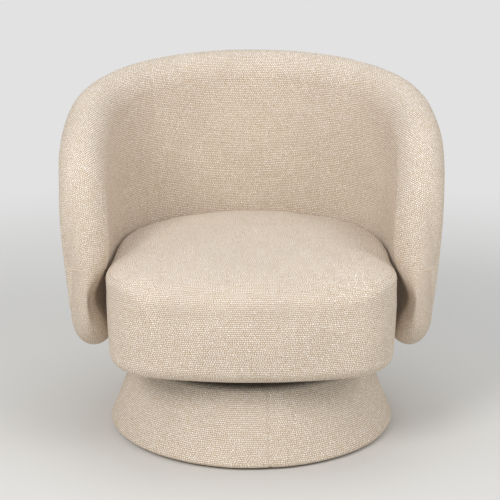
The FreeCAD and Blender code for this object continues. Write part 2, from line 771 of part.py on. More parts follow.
def seat_crown():
    """The swell on the seat's top: arcs from side to side, highest in the middle."""
    roll = size("seat_roll") + (size("draw_in") - size("thinning")) * draw_share(size("seat_edge"))
    chain = seat_chain(roll)
    sections = []
    for strip in range(CROWN_STRIPS + 1):
        half, y, _ = chain.at(chain.length * (strip + 1) / (CROWN_STRIPS + 2))
        rise = (y + size("seat_reach")) * math.tan(math.radians(size("seat_tilt")))
        level = size("seat_edge") + rise - size("ease")
        depth = CROWN_LEAST + size("seat_crown") * math.sin(math.pi * strip / CROWN_STRIPS) ** CROWN_FULLNESS
        low = level - size("seat_roll") / 2
        sections.append(Part.Wire([
            Part.makeLine(Vector(-half, y, low), Vector(half, y, low)),
            Part.makeLine(Vector(half, y, low), Vector(half, y, level)),
            Part.Arc(Vector(half, y, level), Vector(0, y, level + depth),
                     Vector(-half, y, level)).toShape(),
            Part.makeLine(Vector(-half, y, level), Vector(-half, y, low)),
        ]))
    return Part.makeLoft(sections, True, True)


def make_seat_rail(label, corners):
    """One rail of the seat frame, mitred at its ends: four corners as expressions."""
    body = new_body(label)
    sketch = new_sketch(body, "XY_Plane", "outline", "Sizes.rail_level")
    draw_polygon(sketch, corners)
    pad(body, sketch, "Sizes.deck")
    return body


def make_seat_frame():
    """Platform, posts and mitred rails of the seat box."""
    shaped("seat_platform", platform_shape(0, size("seat_base"), size("platform_top")))
    width = "Sizes.rail_width"
    front, back = "Derived.frame_front", "Derived.frame_back"
    wide, narrow = "Derived.frame_front_half", "Derived.frame_back_half"
    front_corners = [(f"-{wide}", f"-{front}"), (wide, f"-{front}"),
                     (f"{wide} - {width}", f"{width} - {front}"),
                     (f"{width} - {wide}", f"{width} - {front}")]
    make_seat_rail("seat_front_rail", front_corners)
    back_corners = [(narrow, back), (f"-{narrow}", back),
                    (f"{width} - {narrow}", f"{back} - {width}"),
                    (f"{narrow} - {width}", f"{back} - {width}")]
    make_seat_rail("seat_back_rail", back_corners)
    for label, side in (("seat_left_rail", "-1"), ("seat_right_rail", "1")):
        make_seat_rail(label, [
            (f"{side} * {wide}", f"-{front}"),
            (f"{side} * {narrow}", back),
            (f"{side} * ({narrow} - {width})", f"{back} - {width}"),
            (f"{side} * ({wide} - {width})", f"{width} - {front}"),
        ])
    post, half = "Sizes.post", f"({width} - Sizes.post) / 2"
    posts = []
    for y, reach in ((f"{half} - {front}", wide), (f"{back} - Sizes.post - {half}", narrow)):
        for x in (f"{reach} - Sizes.post - {half}", f"{half} - {reach}"):
            posts.append((x, y, "Derived.platform_top", post, post,
                          "Sizes.rail_level - Derived.platform_top"))
    boxes("seat_posts", posts)


def make_webbing():
    """Elastic straps on the rails: a layer front to back under a layer across."""
    land, width = "Sizes.strap_land", "Sizes.strap_width"
    low = "(Derived.rail_top + Sizes.ease)"
    count = int(size("straps"))
    places = [f"{number - (count - 1) / 2} * Derived.strap_pitch" for number in range(count)]
    boxes("seat_webbing_long", [
        (f"{place} - {width} / 2", f"{land} - Derived.frame_front", low,
         width, f"Derived.frame_front + Derived.frame_back - 2 * {land}", "Sizes.strap")
        for place in places])
    narrowing = "(Derived.frame_front_half - Derived.frame_back_half)"
    span = "(Derived.frame_front + Derived.frame_back)"
    across = []
    for place in places:
        middle = f"({place} - Derived.strap_middle)"
        half = (f"(Derived.frame_front_half - {land} - {narrowing}"
                f" * ({middle} + Derived.frame_front) / {span})")
        across.append((f"-{half}", f"{middle} - {width} / 2", f"{low} + Sizes.strap + Sizes.ease",
                       f"2 * {half}", width, "Sizes.strap"))
    boxes("seat_webbing_cross", across)


def make_seat_cushion():
    """The boxed cushion over the seat frame, open below for the frame and the platform."""
    ease = size("ease")
    wide, narrow = size("frame_front_half") + ease, size("frame_back_half") + ease
    front, back = -size("frame_front") - ease, size("frame_back") + ease
    low = size("seat_floor") - ease
    corners = [Vector(-wide, front, low), Vector(wide, front, low),
               Vector(narrow, back, low), Vector(-narrow, back, low)]
    top = size("rail_top") + 2 * size("strap") + 3 * ease
    room = Part.Face(Part.makePolygon(corners + corners[:1])).extrude(Vector(0, 0, top - low))
    slot = platform_shape(ease, low, size("platform_top") + ease)
    shaped("seat_cushion", seat_rolls().fuse(seat_crown()).cut(slot).cut(room))


make_plinth()
make_swivel()
make_seat_frame()
make_webbing()
make_seat_cushion()
make_back_frame()
make_back_upholstery()
doc.recompute()

# Checks before writing
for thing in doc.Objects:
    if "Invalid" in thing.State or "Error" in thing.State:
        raise ValueError(f"{thing.Label} did not recompute: {thing.State}")

NODES = [thing for thing in doc.Objects
         if thing.TypeId in ("PartDesign::Body", "Part::Feature", "Part::Compound")]
os.makedirs("parts", exist_ok=True)
for node in NODES:
    shape = node.Shape
    if shape.isNull() or not shape.isValid() or not shape.Solids:
        raise ValueError(f"{node.Label} is not a valid solid")
for node in NODES:
    node.Shape.exportStep(f"parts/{node.Label}.step")
    box = node.Shape.BoundBox
    print(f"{node.Label}: {len(node.Shape.Solids)} solids, {node.Shape.Volume / 1000:.1f} cm3, "
          f"z {box.ZMin:.1f} to {box.ZMax:.1f}")
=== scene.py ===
"""Looks of an upholstered swivel tub chair: three padded pieces in a chunky woven cover over the frame.

Metres, +Z up, the seat faces -Y. The sizes are those of the chair's solids, so each cover lies where its solid does.
"""

import math

import bpy
import numpy as np
from bpy.props import FloatProperty, FloatVectorProperty, PointerProperty
from bpy.types import Operator, Panel, PropertyGroup
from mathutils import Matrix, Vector


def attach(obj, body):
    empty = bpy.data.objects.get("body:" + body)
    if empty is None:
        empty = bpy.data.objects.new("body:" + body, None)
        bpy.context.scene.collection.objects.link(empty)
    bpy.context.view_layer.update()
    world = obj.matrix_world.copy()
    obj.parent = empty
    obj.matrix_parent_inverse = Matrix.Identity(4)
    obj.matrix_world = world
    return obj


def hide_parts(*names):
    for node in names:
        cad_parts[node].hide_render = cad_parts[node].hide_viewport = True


bl_info = {
    "name": "Swivel tub chair",
    "version": (1, 0, 0),
    "blender": (4, 5, 0),
    "location": "3D View > Sidebar > Tub chair",
    "description": "Builds the woven covers, the finishes and the stage of an upholstered swivel tub chair",
    "category": "Object",
}

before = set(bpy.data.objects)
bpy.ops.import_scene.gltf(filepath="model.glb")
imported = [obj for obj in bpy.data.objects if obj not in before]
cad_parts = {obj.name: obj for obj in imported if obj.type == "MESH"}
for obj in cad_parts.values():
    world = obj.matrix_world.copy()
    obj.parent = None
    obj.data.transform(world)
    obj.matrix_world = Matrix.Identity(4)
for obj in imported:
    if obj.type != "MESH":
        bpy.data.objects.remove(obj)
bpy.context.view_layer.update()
MM = 0.001


# Sizes and looks
def length(name, description, value):
    """A length that a user may change, in metres."""
    return FloatProperty(name=name, description=description, default=value, min=0.0, unit="LENGTH", precision=4)


def angle(name, description, degrees):
    """An angle that a user may change."""
    return FloatProperty(name=name, description=description, default=math.radians(degrees), subtype="ANGLE")


def linear(code):
    """The linear colour of an sRGB hex value: a power of 2.4 above the short straight foot of the curve."""
    channels = np.array([int(code[start:start + 2], 16) for start in (1, 3, 5)]) / 255
    bright = ((channels + 0.055) / 1.055) ** 2.4
    return (*np.where(channels <= 0.04045, channels / 12.92, bright).tolist(), 1.0)


def colour(name, description, code):
    """A colour that a user may change."""
    return FloatVectorProperty(name=name, description=description, default=linear(code), size=4,
                               min=0.0, max=1.0, subtype="COLOR")


class ShellSizes(PropertyGroup):
    """The soft wall that is the back and both arms."""
    span: length("Arm span", "Overall width over the arms", 0.766)
    wall: length("Wall", "Thickness of the padded wall", 0.095)
    back_reach: length("Back reach", "Outside of the back, behind the swivel axis", 0.360)
    arm_reach: length("Arm reach", "Front of the arms, ahead of the swivel axis", 0.186)
    corner_radius: length("Corner radius", "Middle line of the corner arc", 0.270)
    side_radius: length("Side radius", "Middle line of the side arc", 0.640)
    back_turn: angle("Back turn", "Where the back arc ends, from straight back", 41)
    corner_turn: angle("Corner turn", "Where the corner arc ends, from straight back", 80)
    rim_height: length("Rim height", "Top of the back", 0.749)
    foot_height: length("Foot height", "Underside of the back and arms", 0.170)
    nose_height: length("Nose height", "Level of the foremost point of the arms", 0.375)
    rim_round_out: length("Rim rounding, outside", "Rounding of the rim on its outer side", 0.050)
    rim_round_in: length("Rim rounding, inside", "Rounding of the rim on its inner side", 0.060)
    foot_round: length("Foot rounding", "Rounding of the underside", 0.050)
    recline: length("Recline", "How far the wall leans out at the rim", 0.013)
    draw_in: length("Draw-in", "How far the wall is drawn in at its foot", 0.017)
    thinning: length("Thinning", "How much thinner each face is at the foot", 0.009)
    panel_seam: length("Panel seam", "Seams of the inside back, along the wall from its middle", 0.259)
    seam_depth: length("Seam depth", "How deep a seam draws the padding in", 0.0022)
    crease: length("Crease", "How deep the two upright seams of the inside back lie", 0.0030)
    hollow: length("Hollow", "How far each arm gives way beside the seat, near its front", 0.0340)


class SeatSizes(PropertyGroup):
    """The deep boxed cushion."""
    gap: length("Gap", "Gap between the seat and the inside of the back", 0.003)
    reach: length("Seat reach", "Front of the seat, ahead of the swivel axis", 0.335)
    corner: length("Seat corner", "Radius of the front corners", 0.115)
    edge: length("Seat edge", "Level of the top edge at the front", 0.372)
    floor: length("Seat floor", "Underside of the seat", 0.1852)
    roll: length("Top roll", "Rounding of the top edge", 0.040)
    foot_roll: length("Foot roll", "Rounding of the bottom edge", 0.028)
    crown: length("Crown", "How far the middle of the top stands above its edge", 0.030)
    bulge: length("Bulge", "How far each side swells out ahead of the arms", 0.0145)
    squeeze: FloatProperty(name="Squeeze", description="How much tighter the top edge rolls beside the back and arms",
                           default=0.55, min=0.0, max=0.9, subtype="FACTOR")
    slope: angle("Slope", "Slope of the top, up towards the back", 2)
    side_turn: angle("Side turn", "Where the side arc ends, from straight back", 100)
    front_turn: angle("Front turn", "Where the front corner ends, from straight back", 165)


class PlinthSizes(PropertyGroup):
    """The padded cover of the round plinth."""
    foot_radius: length("Foot radius", "Radius of the plinth at its foot", 0.300)
    neck_radius: length("Neck radius", "Radius of the plinth at its shoulder", 0.2515)
    skirt: length("Skirt", "Underside of the cover above the floor", 0.0044)
    shoulder: length("Shoulder", "Top of the cover", 0.1536)
    rounding: length("Rounding", "Rounding of the foot", 0.008)
    shoulder_rounding: length("Shoulder rounding", "Rounding of the shoulder", 0.014)
    opening: length("Opening", "Radius of the hole in the cover on top of the plinth", 0.146)
    padding: length("Padding", "Thickness of the padded cover at its side", 0.0085)
    hem: length("Hem", "Thickness of the cover on top of the plinth", 0.0023)
    seam_turn: angle("Seam", "Where the cover's upright seam is, from the front", 7.1)


class ClothLooks(PropertyGroup):
    """The chunky woven cover."""
    row: length("Row", "Height of one row of the weave", 0.0039)
    nub: length("Nub", "Length of one nub of the weave", 0.0043)
    pale: colour("Pale yarn", "Colour of the lightest yarn", "#F7EFE5")
    dark: colour("Dark yarn", "Colour of the darkest yarn", "#EADECC")
    # The gap colour is painted shade: the cover darkens towards it in the hollows between the nubs, where shade
    # falls.
    gap: colour("Gap", "Colour between the nubs", "#AB9175")


class StageLooks(PropertyGroup):
    """Floor and light."""
    floor: colour("Floor", "Colour of the floor", "#DAD7D2")
    backdrop: colour("Backdrop", "Colour that the floor fades to", "#E2E2E2")
    key: FloatProperty(name="Key", description="Power of the large soft light", default=87.0, min=0.0, unit="POWER")
    fill: FloatProperty(name="Fill", description="Power of the light opposite", default=46.0, min=0.0, unit="POWER")
    top: FloatProperty(name="Top", description="Power of the cooler light above", default=21.0, min=0.0, unit="POWER")
    sky: FloatProperty(name="Sky", description="Strength of the even light from all round", default=0.56, min=0.0)


GROUPS = {"shell": ShellSizes, "seat": SeatSizes, "plinth": PlinthSizes, "cloth": ClothLooks, "stage": StageLooks}


# Mesh helpers
def grid_faces(rows, columns, close_rows, close_columns):
    """Four corners of each cell of a grid, row by row: (i, j), (i, j+1), (i+1, j+1), (i+1, j)."""
    i, j = np.meshgrid(np.arange(rows if close_rows else rows - 1),
                       np.arange(columns if close_columns else columns - 1), indexing="ij")
    i, j = i.ravel(), j.ravel()
    after_i, after_j = (i + 1) % rows, (j + 1) % columns
    return np.stack([i * columns + j, i * columns + after_j, after_i * columns + after_j, after_i * columns + j], 1)


def cell_corners(values):
    """The values at the four corners of each cell, in the order of grid_faces. Where the grid closes, the
    array has its first row or column once more at its end."""
    first, last = values[:-1], values[1:]
    return np.stack([first[:, :-1], first[:, 1:], last[:, 1:], last[:, :-1]], 2).reshape(-1, 4, values.shape[2])


def fan(ring, tip, forward):
    """Triangles from a closed ring of points to its tip, each with the tip as its third and fourth corner."""
    after = np.roll(ring, -1)
    first, second = (ring, after) if forward else (after, ring)
    tips = np.full(len(ring), tip)
    return np.stack([first, second, tips, tips], 1)


def surface_normals(points, close_rows, close_columns, middle):
    """Unit cross product of the steps along the rows and along the columns, by central differences, turned to
    point away from the middle on the whole."""
    def steps(values, axis, closed):
        if closed:
            return np.roll(values, -1, axis) - np.roll(values, 1, axis)
        return np.gradient(values, axis=axis)

    across = np.cross(steps(points, 0, close_rows), steps(points, 1, close_columns))
    across /= np.maximum(np.linalg.norm(across, axis=2, keepdims=True), 1e-12)
    return across * np.sign(np.einsum("ijk,ijk->", across, points - middle))


def mesh_piece(name, points, faces, layout=None):
    """A smooth mesh from points, four-cornered faces and a cloth layout in metres at each face corner.

    Two equal corners side by side make a triangle. Faces are turned round where the closed form's
    volume, a sixth of the sum of corner triple products, comes out negative."""
    a, b, c, d = (points[faces[:, corner]] for corner in range(4))
    volume = np.einsum("ij,ij->", a, np.cross(b, c)) + np.einsum("ij,ij->", a, np.cross(c, d))
    if volume < 0:
        faces = faces[:, ::-1]
        layout = None if layout is None else layout[:, ::-1]
    keep = faces != np.roll(faces, -1, 1)
    loops, totals = faces[keep], keep.sum(1)
    mesh = bpy.data.meshes.new(name)
    mesh.vertices.add(len(points))
    mesh.vertices.foreach_set("co", points.astype(np.float32).ravel())
    mesh.loops.add(len(loops))
    mesh.loops.foreach_set("vertex_index", loops.astype(np.int32))
    mesh.polygons.add(len(totals))
    mesh.polygons.foreach_set("loop_start", np.concatenate([[0], np.cumsum(totals)[:-1]]).astype(np.int32))
    mesh.update(calc_edges=True)
    mesh.validate()
    mesh.polygons.foreach_set("use_smooth", np.ones(len(totals), bool))
    if layout is not None:
        mesh.uv_layers.new(name="cloth").data.foreach_set("uv", layout[keep].astype(np.float32).ravel())
    piece = bpy.data.objects.new(name, mesh)
    bpy.context.scene.collection.objects.link(piece)
    return piece


def dress(piece, body, slot, material, *nodes):
    """The piece rides on its body, takes its finish, and stands for its solids."""
    piece.data.materials.append(material)
    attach(piece, body)
    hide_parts(*nodes)


def ripple(x, y, z, size):
    """Slow unevenness between -1 and 1: the mean of products of sines in three turned directions."""
    turns = ((1.0, 0.31, -0.22, 0.4), (-0.37, 0.93, 0.28, 1.9), (0.21, -0.44, 1.07, 3.1))
    total = 0.0
    for a, b, c, shift in turns:
        along = (a * x + b * y + c * z) / size
        across = (b * x - c * y + a * z) / size
        total = total + np.sin(2 * math.pi * along + shift) * np.sin(2 * math.pi * 0.83 * across + 2.3 * shift)
    return total / len(turns)


def smooth_step(values, low, high):
    """0 at low and below, 1 at high and above, and the cubic 3 t^2 - 2 t^3 between them."""
    share = np.clip((values - low) / (high - low), 0, 1)
    return share ** 2 * (3 - 2 * share)


def dip(distance, width):
    """A rounded furrow across a seam: the bell curve exp(-(distance / width) ^ 2)."""
    return np.exp(-(distance / width) ** 2)


def furrow(distance, fine, soft):
    """A fine furrow in a wider, softer one, each as its depth and its width."""
    return fine[0] * dip(distance, fine[1]) + soft[0] * dip(distance, soft[1])


def both_sides(*steps):
    """The steps before a seam and after it, in order."""
    return np.concatenate([-np.array(steps[::-1]), steps])


# Plan curves
def arc_chain(start, legs):
    """Tangent arcs from the middle of the back round to the front: the travel, radius, heading and place
    at which each begins. An arc of radius r from heading a to b moves r (sin b - sin a) across and
    r (cos b - cos a) along."""
    rows, x, y, heading, travelled = [], 0.0, start, 0.0, 0.0
    for radius, end in legs:
        rows.append((travelled, radius, heading, x, y))
        x += radius * (math.sin(end) - math.sin(heading))
        y += radius * (math.cos(end) - math.cos(heading))
        travelled += radius * (end - heading)
        heading = end
    return np.array(rows), travelled


def along_chain(chain, distance, outward=0.0):
    """Places on the chain, moved outward along its normal, mirrored for negative distances."""
    travel = np.abs(distance)
    leg = np.searchsorted(chain[:, 0], travel, side="right") - 1
    began, radius, heading, x, y = chain[leg].T if travel.ndim == 1 else np.moveaxis(chain[leg], -1, 0)
    turned = heading + (travel - began) / radius
    across = x + radius * (np.sin(turned) - np.sin(heading)) + outward * np.sin(turned)
    ahead = y + radius * (np.cos(turned) - np.cos(heading)) + outward * np.cos(turned)
    return np.where(distance < 0, -across, across), ahead


def wall_legs(shell):
    """Radius and end heading of the wall's three arcs. The back arc fills what the others leave of the half span."""
    half_span = (shell.span - shell.wall) / 2
    swept = (shell.corner_radius * (math.sin(shell.corner_turn) - math.sin(shell.back_turn))
             + shell.side_radius * (1 - math.sin(shell.corner_turn)))
    back = (half_span - swept) / math.sin(shell.back_turn)
    return [(back, shell.back_turn), (shell.corner_radius, shell.corner_turn), (shell.side_radius, 3 * math.pi / 4)]


DRAWN_BELOW = 0.455
LEANS_ABOVE = 0.420
RIM_FLOW, RIM_FALL = 2.05, 2.7
FOOT_FLOW, FOOT_FALL = 7.5, 4.0


def draw_share(shell, level):
    """How much of the draw-in applies at a level: none at its upper end, all of it at the foot."""
    return np.maximum((DRAWN_BELOW - level) / (DRAWN_BELOW - shell.foot_height), 0.0) ** 1.4


# Back and arms
class ShellForm:
    """The wall's middle line, its rim and underside, and its two faces."""

    def __init__(self, shell):
        self.sizes = shell
        self.full = shell.wall / 2
        self.chain, total = arc_chain(shell.back_reach - self.full, wall_legs(shell))
        travel = np.linspace(0, total, 40001)
        self.nose = float(np.interp(shell.arm_reach, -along_chain(self.chain, travel)[1], travel))

    def edge(self, distance, end, flow, fall):
        """Level of the rim or underside: nose + (end - nose) (1 - share^flow)^(1/fall), share along the wall."""
        share = np.clip(np.abs(distance) / self.nose, 0, 1)
        return self.sizes.nose_height + (end - self.sizes.nose_height) * (1 - share ** flow) ** (1 / fall)

    def rim(self, distance):
        """Level of the rim along the wall."""
        return self.edge(distance, self.sizes.rim_height, RIM_FLOW, RIM_FALL)

    def foot(self, distance):
        """Level of the underside along the wall."""
        return self.edge(distance, self.sizes.foot_height, FOOT_FLOW, FOOT_FALL)

    def lean(self, level):
        """Offset of the wall's middle at a level: it leans out towards the rim and is drawn in towards the foot."""
        sizes = self.sizes
        rise = np.maximum((level - LEANS_ABOVE) / (sizes.rim_height - LEANS_ABOVE), 0.0)
        return sizes.recline * rise ** 1.3 - sizes.draw_in * draw_share(sizes, level)

    def half(self, distance):
        """Half the wall's thickness: constant, then a half circle in plan at the nose."""
        room = self.nose - np.abs(distance)
        return np.sqrt(self.full ** 2 - np.maximum(self.full - room, 0.0) ** 2)

    def face(self, distance, level, side):
        """Offset of a face of the wall at a level, thinner towards the foot."""
        thinner = 1 - self.sizes.thinning / self.full * draw_share(self.sizes, level)
        return self.lean(level) + side * self.half(distance) * thinner


def shell_stations(form, seam):
    """Places along the wall, closer towards both noses and beside the two upright seams."""
    travel = form.nose * (1 - (1 - np.linspace(0, 1, 181)[1:-1]) ** 2.6)
    beside = seam + MM * both_sides(0.5, 1.4, 2.4, 3.5, 5, 7, 10, 14)
    travel = np.unique(np.concatenate([travel, beside]))
    return np.concatenate([-travel[::-1], [0.0], travel])


def shell_section(form, distance):
    """Outward offset and level round each section: the inner face up, the two quarter ellipses of the rim,
    the outer face down, and the two quarter ellipses of the underside. A rounding is as much longer as its
    edge runs steeper, sqrt(1 + slope^2), and stays under 0.97 of the room to the nose's level."""
    sizes, step = form.sizes, MM
    travel = np.abs(distance)[:, None]
    rim, foot = form.rim(travel), form.foot(travel)
    rim_slope = (rim - form.rim(travel - step)) / step
    foot_slope = (foot - form.foot(travel - step)) / step
    rim_room, foot_room = 0.97 * (rim - sizes.nose_height), 0.97 * (sizes.nose_height - foot)
    out_round = np.minimum(sizes.rim_round_out * np.hypot(1, rim_slope), rim_room)
    in_round = np.minimum(sizes.rim_round_in * np.hypot(1, rim_slope), rim_room)
    foot_round = np.minimum(sizes.foot_round * np.hypot(1, foot_slope), foot_room)

    def straight(low, high, side, share):
        level = low + (high - low) * share
        return form.face(travel, level, side) + 0 * level, level

    def quarter(near, far, turn):
        """A quarter ellipse: upright at near, where turn is 0, and level at far, after a quarter turn."""
        return far[0] + (near[0] - far[0]) * np.cos(turn), near[1] + (far[1] - near[1]) * np.sin(turn)

    even = (1 - np.cos(np.linspace(0, math.pi, 33)))[None, :-1] / 2
    rising = math.pi / 2 * np.linspace(0, 1, 15)[None, :] ** 1.3
    falling = rising[:, ::-1]
    crest = (form.lean(rim - (out_round + in_round) / 2), rim)
    keel = (form.lean(foot + foot_round), foot)
    inner_top, outer_top, inner_foot, outer_foot = (
        (form.face(travel, at, side), at)
        for at, side in ((rim - in_round, -1), (rim - out_round, 1), (foot + foot_round, -1), (foot + foot_round, 1)))
    parts = [
        straight(inner_foot[1], inner_top[1], -1, even),
        quarter(inner_top, crest, rising[:, :-1]),
        quarter(outer_top, crest, falling[:, :-1]),
        straight(outer_top[1], outer_foot[1], 1, even),
        quarter(outer_foot, keel, rising[:, :-1]),
        quarter(inner_foot, keel, falling[:, :-1]),
    ]
    outward = np.concatenate([part[0] for part in parts], 1)
    level = np.concatenate([part[1] for part in parts], 1)
    starts = np.cumsum([0] + [part[0].shape[1] for part in parts])
    return outward, level, starts


def shell_layout(form, distance, outward, level, starts):
    """The cloth's own coordinates over the grid, for the inside panel and for the outside panel.

    Both have their rows level on the faces. Over the rim the inside panel is unrolled along the sloping
    edge: a step of length s round the section, which climbs s cos b, moves the cloth by
    s (-sin a cos b) along the edge and s sqrt(1 - sin^2 a cos^2 b) square to it, where a is the edge's
    slope. The underside is the same, upside down."""
    travel = np.abs(distance)
    outer_top, outer_foot = starts[3], starts[4]
    columns = outward.shape[1]
    step = MM
    rim_slope = np.arctan((form.rim(travel - step) - form.rim(travel)) / step)[:, None]
    foot_slope = np.arctan((form.foot(travel) - form.foot(travel - step)) / step)[:, None]
    stretch = [np.concatenate([[0.0], np.cumsum(np.hypot(np.diff(x), np.diff(y)))])
               for x, y in (along_chain(form.chain, distance, side * form.half(distance)) for side in (-1, 1))]
    middle = len(distance) // 2
    inner_run, outer_run = (run - run[middle] for run in stretch)
    sign = np.sign(distance)[:, None]

    def unroll(order, slope, upward):
        """Coordinates along the columns in order, from the first column's place on the inside face."""
        step_out = np.diff(outward[:, order], axis=1)
        climb = upward * np.diff(level[:, order], axis=1)
        size = np.maximum(np.hypot(step_out, climb), 1e-9)
        cosine = climb / size
        along = -np.sin(slope) * cosine
        square = np.sqrt(np.maximum(1 - along ** 2, 0.0))
        across = size * (along * np.cos(slope) + square * np.sin(slope))
        rise = size * (square * np.cos(slope) - along * np.sin(slope))
        zero = np.zeros((len(travel), 1))
        u = inner_run[:, None] + sign * np.concatenate([zero, np.cumsum(across, 1)], 1)
        v = level[:, order[:1]] + upward * np.concatenate([zero, np.cumsum(rise, 1)], 1)
        return u, v

    inside = np.zeros((len(travel), columns + 1, 2))
    up = list(range(0, outer_top + 1))
    inside[:, up, 0], inside[:, up, 1] = unroll(up, rim_slope, 1)
    down = [0] + list(range(columns - 1, outer_foot - 1, -1))
    u, v = unroll(down, foot_slope, -1)
    inside[:, [columns] + down[1:], 0], inside[:, [columns] + down[1:], 1] = u, v
    outside = np.stack([np.broadcast_to(-outer_run[:, None], (len(travel), columns + 1)),
                        np.concatenate([level, level[:, :1]], 1)], 2)
    return inside, outside


# Lengths are in metres. A pair (low, high) is where an effect begins and where it is whole; in the wall, 1 is the
# inner face and -1 the outer one. A _FINE or _SOFT pair is a furrow's depth and width; the crease's is a share of it.
HOLLOW_LEVEL, HOLLOW_HEIGHT = 0.305, 0.054
HOLLOW_BEFORE_NOSE, HOLLOW_IN_WALL = (-0.140, -0.040), (-0.5, 0.9)
CREASE_LEVELS, CREASE_IN_WALL = (0.36, 0.46), (0.1, 0.7)
CREASE_FINE, CREASE_SOFT = (0.2, 0.0030), (0.8, 0.030)
PANEL_SEAM_WIDTH, PANEL_SEAM_SOFT = 0.0030, (0.0012, 0.012)
PANEL_HEIGHTS, NOSE_FADE = (0.03, 0.15), 0.07
SHELL_UNEVEN, SHELL_WAVE = 0.0008, 0.16


def make_shell(form):
    """The shell's grid: sections along the wall, drawn in at its seams, with both noses closed to a point.

    The padding carries a slow unevenness of under 1 mm. It is drawn in by a fine furrow in a wide soft one at
    the two upright seams of the inside, and along the seams of the outside panel. All of it fades over the
    last 70 mm to each nose. Beside the seat, each arm gives way from 140 mm before its nose, all of
    the hollow at its inner face and none in its outer quarter, as a bell curve in height."""
    sizes = form.sizes
    distance = shell_stations(form, sizes.panel_seam)
    outward, level, starts = shell_section(form, distance)
    rows, columns = outward.shape
    travel = np.abs(distance)[:, None]
    room = form.nose - travel
    inward = (form.lean(level) - outward) / form.full
    beside_seat = smooth_step(inward, *HOLLOW_IN_WALL) * smooth_step(-room, *HOLLOW_BEFORE_NOSE)
    dented = outward + sizes.hollow * beside_seat * dip(level - HOLLOW_LEVEL, HOLLOW_HEIGHT)
    x, y = along_chain(form.chain, np.broadcast_to(distance[:, None], outward.shape), dented)
    points = np.stack([x, y, level], 2)
    normals = surface_normals(points, False, True, points.mean(1, keepdims=True))
    steps = np.linalg.norm(points - np.roll(points, 1, 1), axis=2)
    round_it = np.cumsum(steps, 1) - steps[:, :1]
    swell = SHELL_UNEVEN * ripple(x, y, level, SHELL_WAVE)
    crease = furrow(travel - sizes.panel_seam, CREASE_FINE, CREASE_SOFT)
    swell -= smooth_step(inward, *CREASE_IN_WALL) * smooth_step(level, *CREASE_LEVELS) * sizes.crease * crease
    panel = round_it[:, starts[4]:starts[4] + 1] - round_it[:, starts[3]:starts[3] + 1]
    for column in (starts[3], starts[4]):
        gap = round_it - round_it[:, column:column + 1]
        seam = furrow(gap, (sizes.seam_depth, PANEL_SEAM_WIDTH), PANEL_SEAM_SOFT)
        swell -= seam * smooth_step(panel, *PANEL_HEIGHTS)
    swell *= smooth_step(room, 0.0, NOSE_FADE)
    points = points + normals * swell[:, :, None]
    inside, outside = shell_layout(form, distance, outward, level, starts)
    faces = grid_faces(rows, columns, False, True)
    column = np.arange(columns)
    on_outer = np.tile((column >= starts[3]) & (column < starts[4]), rows - 1)
    layout = np.where(on_outer[:, None, None], cell_corners(outside), cell_corners(inside))
    caps = np.concatenate([fan(column, rows * columns, False),
                           fan((rows - 1) * columns + column, rows * columns + 1, True)])
    laid = inside[:, :-1]
    cap_layout = np.concatenate([laid.reshape(-1, 2), laid[[0, -1]].mean(1)])[caps]
    return (np.concatenate([points.reshape(-1, 3), points[[0, -1]].mean(1)]), np.concatenate([faces, caps]),
            np.concatenate([layout, cap_layout]))


# Seat
def seat_legs(seat, shell):
    """Arcs of the seat's edge: the wall's own arcs less the gap, a bowed side, a front corner and a bowed front.

    The side's and the front's radii are those that bring the edge to the middle of the front at its reach."""
    step = shell.wall / 2 + seat.gap
    wall = wall_legs(shell)
    legs = [(radius - step, end) for radius, end in wall[:2]] + [(wall[2][0] - step, math.pi / 2)]
    start = shell.back_reach - shell.wall / 2 - step
    side_turn, front_turn = seat.side_turn, seat.front_turn
    x, behind = arc_chain(0.0, legs + [(seat.corner, front_turn)])[0][-1, 3:].tolist()
    x += seat.corner * (math.sin(front_turn) - math.sin(side_turn))
    y = seat.corner * (math.cos(side_turn) - math.cos(front_turn)) - behind
    side_x, side_y = math.sin(side_turn) - 1, -math.cos(side_turn)
    front_x, front_y = -math.sin(front_turn), math.cos(front_turn) + 1
    ahead = start + seat.reach - y
    spread = side_x * front_y - side_y * front_x
    side = (-x * front_y - ahead * front_x) / spread
    front = (side_x * ahead + side_y * x) / spread
    return start, legs + [(side, side_turn), (seat.corner, front_turn), (front, math.pi)]


ROLL_END = math.radians(76)
SEAM_TURN = math.radians(58)
CROWN_POWER = 2.2
# Pairs as above. The first two are shares of the outward direction, across and towards the back.
BESIDE_ARMS, BEFORE_BACK = (0.3, 0.8), (-0.2, 0.4)
BULGE_AHEAD = (0.075, 0.205)
HELD_SWELL, UNDERSIDE_FADE = 0.2, 0.01
SEAT_UNEVEN, SEAT_WAVE = 0.0009, 0.13
SEAT_SEAM_FINE, SEAT_SEAM_SOFT = (0.0006, 0.0022), (0.0002, 0.008)


